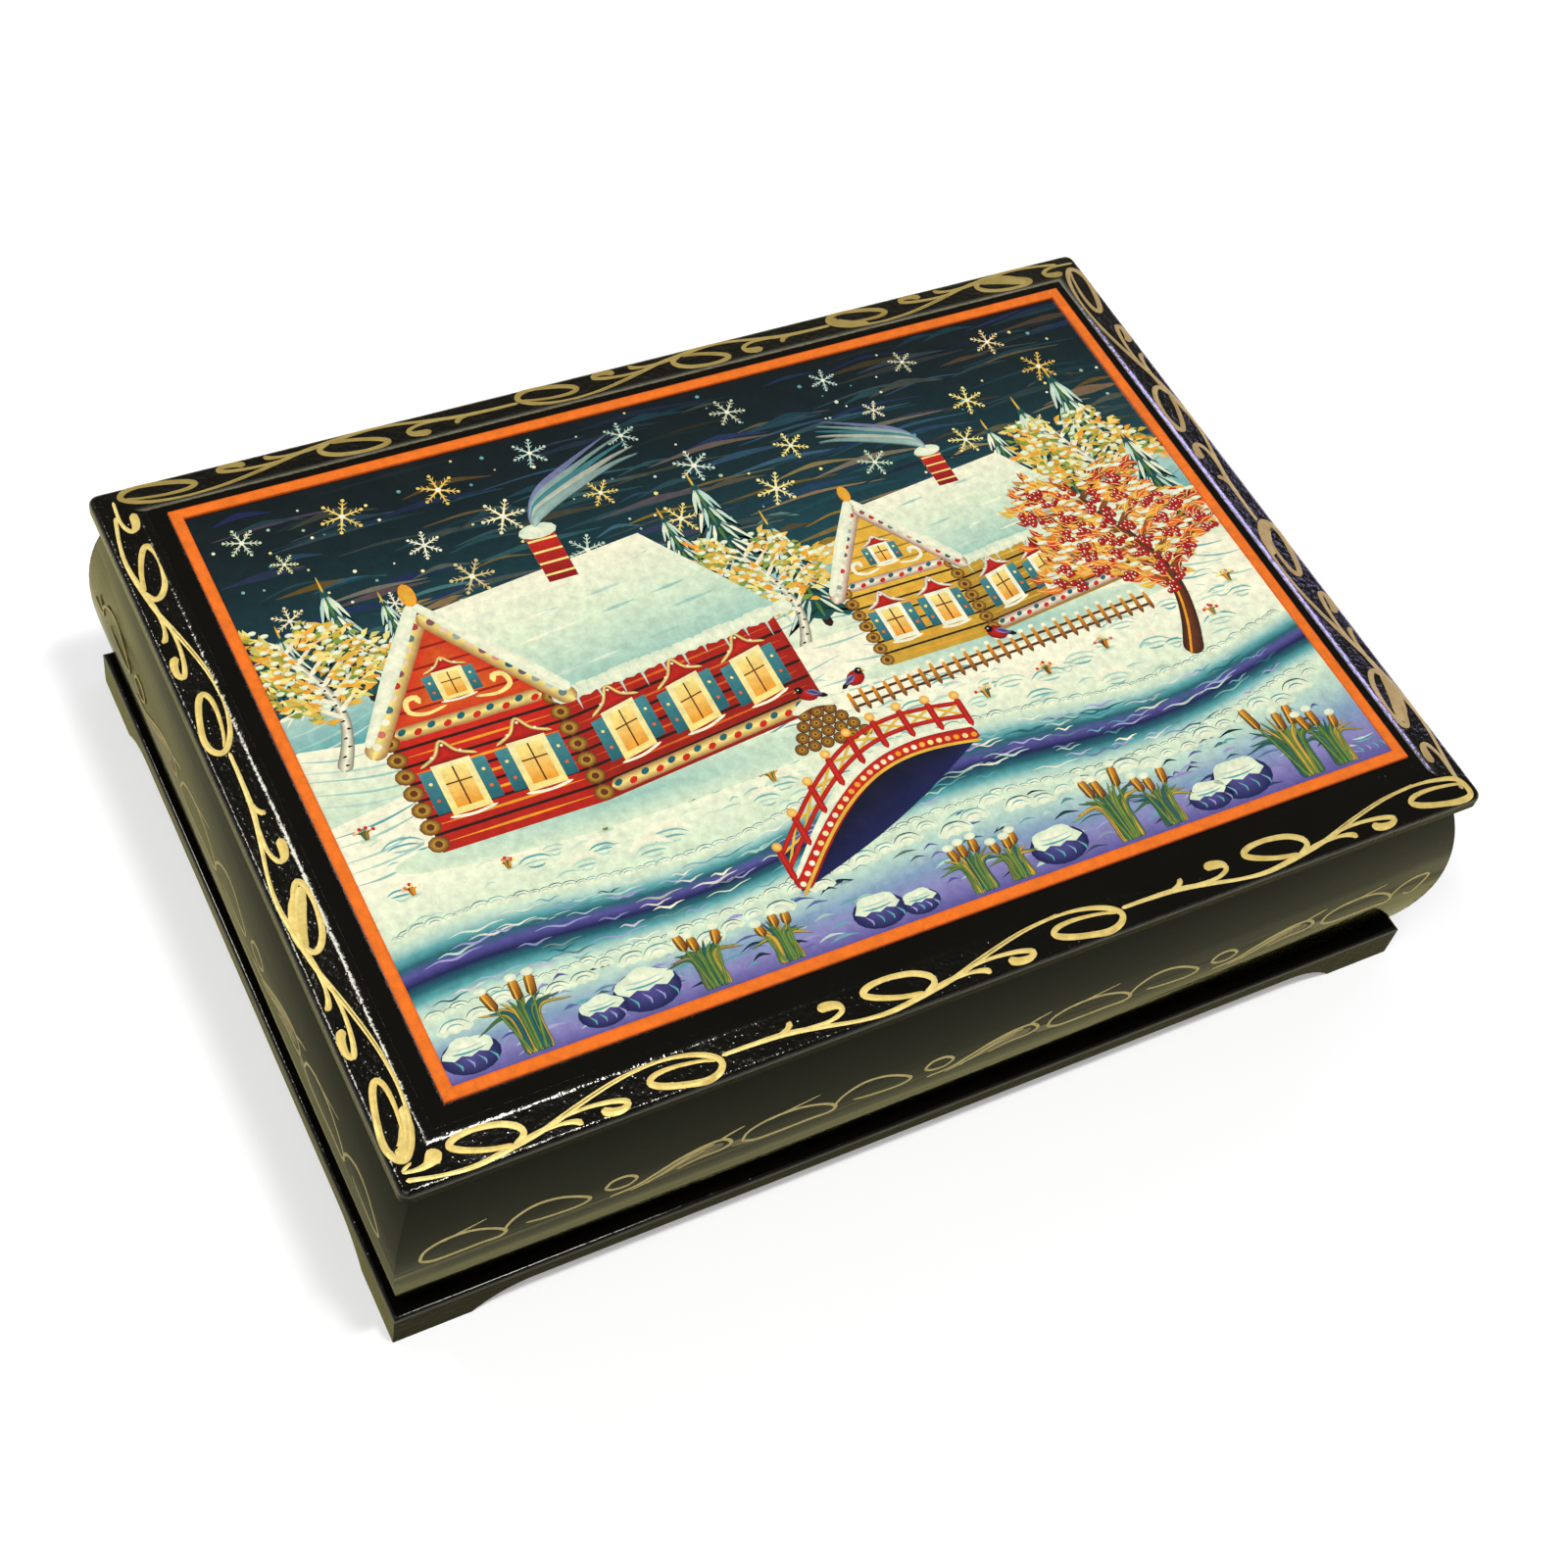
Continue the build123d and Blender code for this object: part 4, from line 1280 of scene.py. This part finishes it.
def land(paint):
    """Snowy hills and fields, down to the stream."""
    x = PICTURE_X
    far = [(-x, 9), (-44, 12.5), (-26, 10), (-6, 13), (12, 11.5), (30, 13), (46, 9.5), (x, 12)]
    halfway = [(-x, 4), (-48, 2.5), (-30, 5.5), (-10, 4), (6, 7), (34, 5.5), (50, 7.5), (x, 4)]
    near = [(-x, -7), (-42, -4.5), (-20, -5.5), (4, -1.5), (24, -3.5), (44, -1), (x, -4)]
    hill(paint, far, -4, ["mist", "sea", "teal"], COATS["far_hill"])
    hill(paint, halfway, -12, ["cream", "mint", "snow_shade"], COATS["halfway_hill"])
    hill(paint, near, -31, ["cream", ink(250, 247, 214), "mint", "mint"], COATS["near_hill"])
    for _ in range(150):
        u = hand.uniform(-x + 2, x - 4)
        v = hand.uniform(upper_bank(u) + 1, -6)
        brush_mark(paint, u, v, ("mint", "mist", "snow_shade", "cream"), COATS["field"])
    for k, u in enumerate(across_picture(46, 4)):
        v = hand.uniform(upper_bank(u) + 2.2, -10)
        blown_snow(paint, u, v, hand.uniform(1.6, 3.2), COATS["drifts"] + k % 2 * 1.4)
    for u, v in TUFTS:
        tuft(paint, u, v, hand.uniform(0.9, 1.4), COATS["tufts"])


def brush_mark(paint, u, v, tints, coat):
    """One short flat stroke."""
    length = hand.uniform(1.3, 4)
    points = [(u, v), (u + length / 2, v + hand.uniform(0.2, 0.6)), (u + length, v + 0.1)]
    paint.stroke(points, [0.06, hand.uniform(0.25, 0.5), 0.06], pick(*tints), coat + hand.random())


def near_bank(paint):
    """The dark bank in the foreground, with heaps of snow along its edge."""
    tints = ["violet", mix("violet", "lilac", 0.6), mix("lilac", "sea", 0.5), "mist", "mint"]
    rows = []
    for share in shares(len(tints)):
        rows.append([between((u, -PICTURE_Y), (u, lower_bank(u)), share) for u in across_picture(49)])
    paint.area(rows, tints, COATS["bank"])
    for _ in range(190):
        u = hand.uniform(-PICTURE_X + 2, PICTURE_X - 6)
        v = hand.uniform(-PICTURE_Y + 0.8, lower_bank(u) - 0.8)
        brush_mark(paint, u, v, ("sea", "lilac", "mist", "violet", "deep_teal"), COATS["bank_marks"])
    for u in across_picture(40, 3):
        size = hand.uniform(1.0, 2.0)
        v = lower_bank(u) - size * hand.uniform(0.6, 1.8)
        scallop(paint, u, v, size, COATS["bank_snow"] + 3 * hand.random())


# Where things stand: trees with their height and coat, birds with the way they look, and what lies along
# the picture's lower edge with its size
FIRS = (
    (-57, 8, 13, 30), (-50, 9, 17, 31), (-44, 10, 12, 32), (-7, 10, 13, 30), (-1, 10, 17, 31),
    (40, 10, 13, 30), (46, 8, 17, 31), (53, 9, 20, 32), (5, 1, 17, 40), (57, -2, 18, 42),
)
BIRCHES = (-57, 0, 22, 40), (0, -3, 20, 43), (49, 0, 22, 40)
BIRDS = (4, -8.2, 1), (24, -8.0, -1), (-2.6, -8.4, -1)
STONES = (
    (-58, 2.2), (-43, 1.9), (-37.5, 2.6), (-9, 2.2), (-4, 1.6), (15, 2.5), (36, 2.0), (41, 2.8), (59, 1.8),
)
REEDS = (-51, 9), (-30, 7.5), (-21, 6), (4, 7), (9, 5.5), (24, 9.5), (30, 7), (50, 10.5), (55, 8)


def paint_picture():
    """All of the picture, in pieces from back to front."""
    def layer(name):
        return Paint(name, on_print, PICTURE_STEP, inside_picture)

    sky, ground, woods = layer("picture_sky"), layer("picture_land"), layer("picture_woods")
    homes, near = layer("picture_homes"), layer("picture_near")
    night_sky(sky)
    land(ground)
    stream(ground, COATS["stream"])
    near_bank(ground)

    for place in FIRS:
        fir(woods, *place)
    for place in BIRCHES:
        tree(woods, *place, "cream", ("gold", "pale_gold", "amber", "leaf"), False)

    cottage(homes, 9, -8, 1.5, INK["gold"], "cream", 50, -1)
    cottage(homes, -51, -14, 2.0, INK["red"], "pale_gold", 56, 1)
    fence(homes, (2, -13), (45, -11.5), 27, COATS["yard"])
    woodpile(homes, -7, -15.5, 6, 4, COATS["yard"])

    footbridge(near, (-16, -31.5), (14, -19.5), COATS["bridge"])
    autumn = ("orange", "amber", "red", "gold", "crimson")
    tree(near, 46, -19.5, 33, COATS["rowan"], "brown", autumn, True)
    for u, v, way in BIRDS:
        bird(near, u, v, 1.3, way, COATS["birds"])
    for u, size in STONES:
        stone(near, u, -PICTURE_Y + size + 0.6, size, COATS["stones"])
    for u, tall in REEDS:
        reeds(near, u, -PICTURE_Y + 0.6, tall, COATS["reeds"])

    for paint in (sky, ground, woods, homes, near):
        paint.finish(picture, "lid", "picture_paper")


def orange_frame():
    """The orange line round the picture, mitred at its corners."""
    paint = Paint("picture_frame", on_print)
    tint, deep = ink(240, 118, 32), ink(224, 97, 25)
    outer_x, outer_y = (half + FRAME_BAND - FRAME_MARGIN for half in (PICTURE_X, PICTURE_Y))
    inner_x, inner_y = PICTURE_X - FRAME_LAP, PICTURE_Y - FRAME_LAP
    outer = [(outer_x * x, outer_y * y) for x, y in TURNS]
    inner = [(inner_x * x, inner_y * y) for x, y in TURNS]
    for i in range(4):
        j = (i + 1) % 4
        rows = []
        for share in (0, 0.2, 0.8, 1.0):
            a, b = between(outer[i], inner[i], share), between(outer[j], inner[j], share)
            rows.append([between(a, b, along) for along in shares(13)])
        paint.area(rows, [deep, tint, tint, deep], COATS["frame"])
    paint.finish(picture, "lid", "picture_paper")


paint_picture()
orange_frame()


# Floor, light and camera


def make_floor():
    """Pale paper that is lit from below away from the box, up to white."""
    nodes = Nodes("floor_paper")
    nodes.shade(Roughness=0.9, Emission_Color=(1.0, 1.0, 1.0))
    away = nodes.add("ShaderNodeVectorMath", "Value", {0: nodes.spot}, operation="LENGTH")
    nodes.shade(Emission_Strength=nodes.ramp(away, 0.12, 0.8, 0.4, 1.2))
    nodes.shade(Base_Color=nodes.blend(nodes.noise(3, 2), (0.93, 0.93, 0.92), (0.97, 0.97, 0.96)))
    corners = [(FLOOR_REACH * x, FLOOR_REACH * y, 0) for x, y in TURNS]
    mesh = bpy.data.meshes.new("floor")
    mesh.from_pydata(corners, [], [(0, 1, 2, 3)])
    mesh.materials.append(nodes.material)
    floor = bpy.data.objects.new("floor", mesh)
    bpy.context.scene.collection.objects.link(floor)


def make_light(name, place, size, power, tint=(1, 1, 1)):
    """A soft lamp that faces the box, with its size across and up."""
    lamp = bpy.data.lights.new(name, "AREA")
    lamp.shape = "RECTANGLE"
    lamp.size, lamp.size_y = size
    lamp.energy = power
    lamp.color = tint
    holder = bpy.data.objects.new(name, lamp)
    holder.location = place
    holder.rotation_euler = (Vector((0, 0, 0.03)) - Vector(place)).to_track_quat("-Z", "Y").to_euler()
    bpy.context.scene.collection.objects.link(holder)


def make_world():
    """A white wall all round under a dim ceiling."""
    world = bpy.data.worlds.new("studio")
    world.use_nodes = True
    tree = world.node_tree
    direction = tree.nodes.new("ShaderNodeTexCoord")
    parts = tree.nodes.new("ShaderNodeSeparateXYZ")
    light = tree.nodes.new("ShaderNodeValToRGB")
    ends = light.color_ramp.elements
    ends[0].position, ends[0].color = 0.03, (1.0, 1.0, 1.0, 1.0)
    ends[1].position, ends[1].color = 0.55, (0.14, 0.139, 0.136, 1.0)
    light.color_ramp.elements.new(0.14).color = (0.60, 0.595, 0.58, 1.0)
    tree.links.new(direction.outputs["Generated"], parts.inputs["Vector"])
    tree.links.new(parts.outputs["Z"], light.inputs["Fac"])
    tree.links.new(light.outputs["Color"], tree.nodes["Background"].inputs["Color"])
    bpy.context.scene.world = world


def make_camera():
    """The photo's camera, as it was fitted to the lid's corners and the feet."""
    data = bpy.data.cameras.new("camera")
    data.lens = CAMERA_LENS
    data.sensor_width = 36
    data.clip_start = 0.01
    camera = bpy.data.objects.new("camera", data)
    look = CAMERA_LOOK.normalized()
    right = look.cross(CAMERA_UP).normalized()
    turn = Matrix((right, right.cross(look), -look)).transposed()
    camera.matrix_world = Matrix.Translation(CAMERA_PLACE * MM) @ turn.to_4x4()
    bpy.context.scene.collection.objects.link(camera)
    bpy.context.scene.camera = camera


make_floor()
make_world()
make_light("ceiling", (0.16, -0.26, 1.2), (0.22, 0.16), 7.6)
make_light("behind", (-0.48, 0.60, 1.0), (0.2, 0.3), 5)
make_light("soft", (-0.75, -0.55, 0.95), (0.9, 0.9), 7.4)
make_light("window", (1.03, 0.55, 0.50), (0.16, 0.10), 0.5, (0.45, 0.42, 1.0))
make_light("window_foot", (1.12, 0.52, 0.12), (0.30, 0.18), 2.6, (0.36, 0.33, 1.0))
make_camera()
bpy.context.scene.view_settings.view_transform = "Standard"
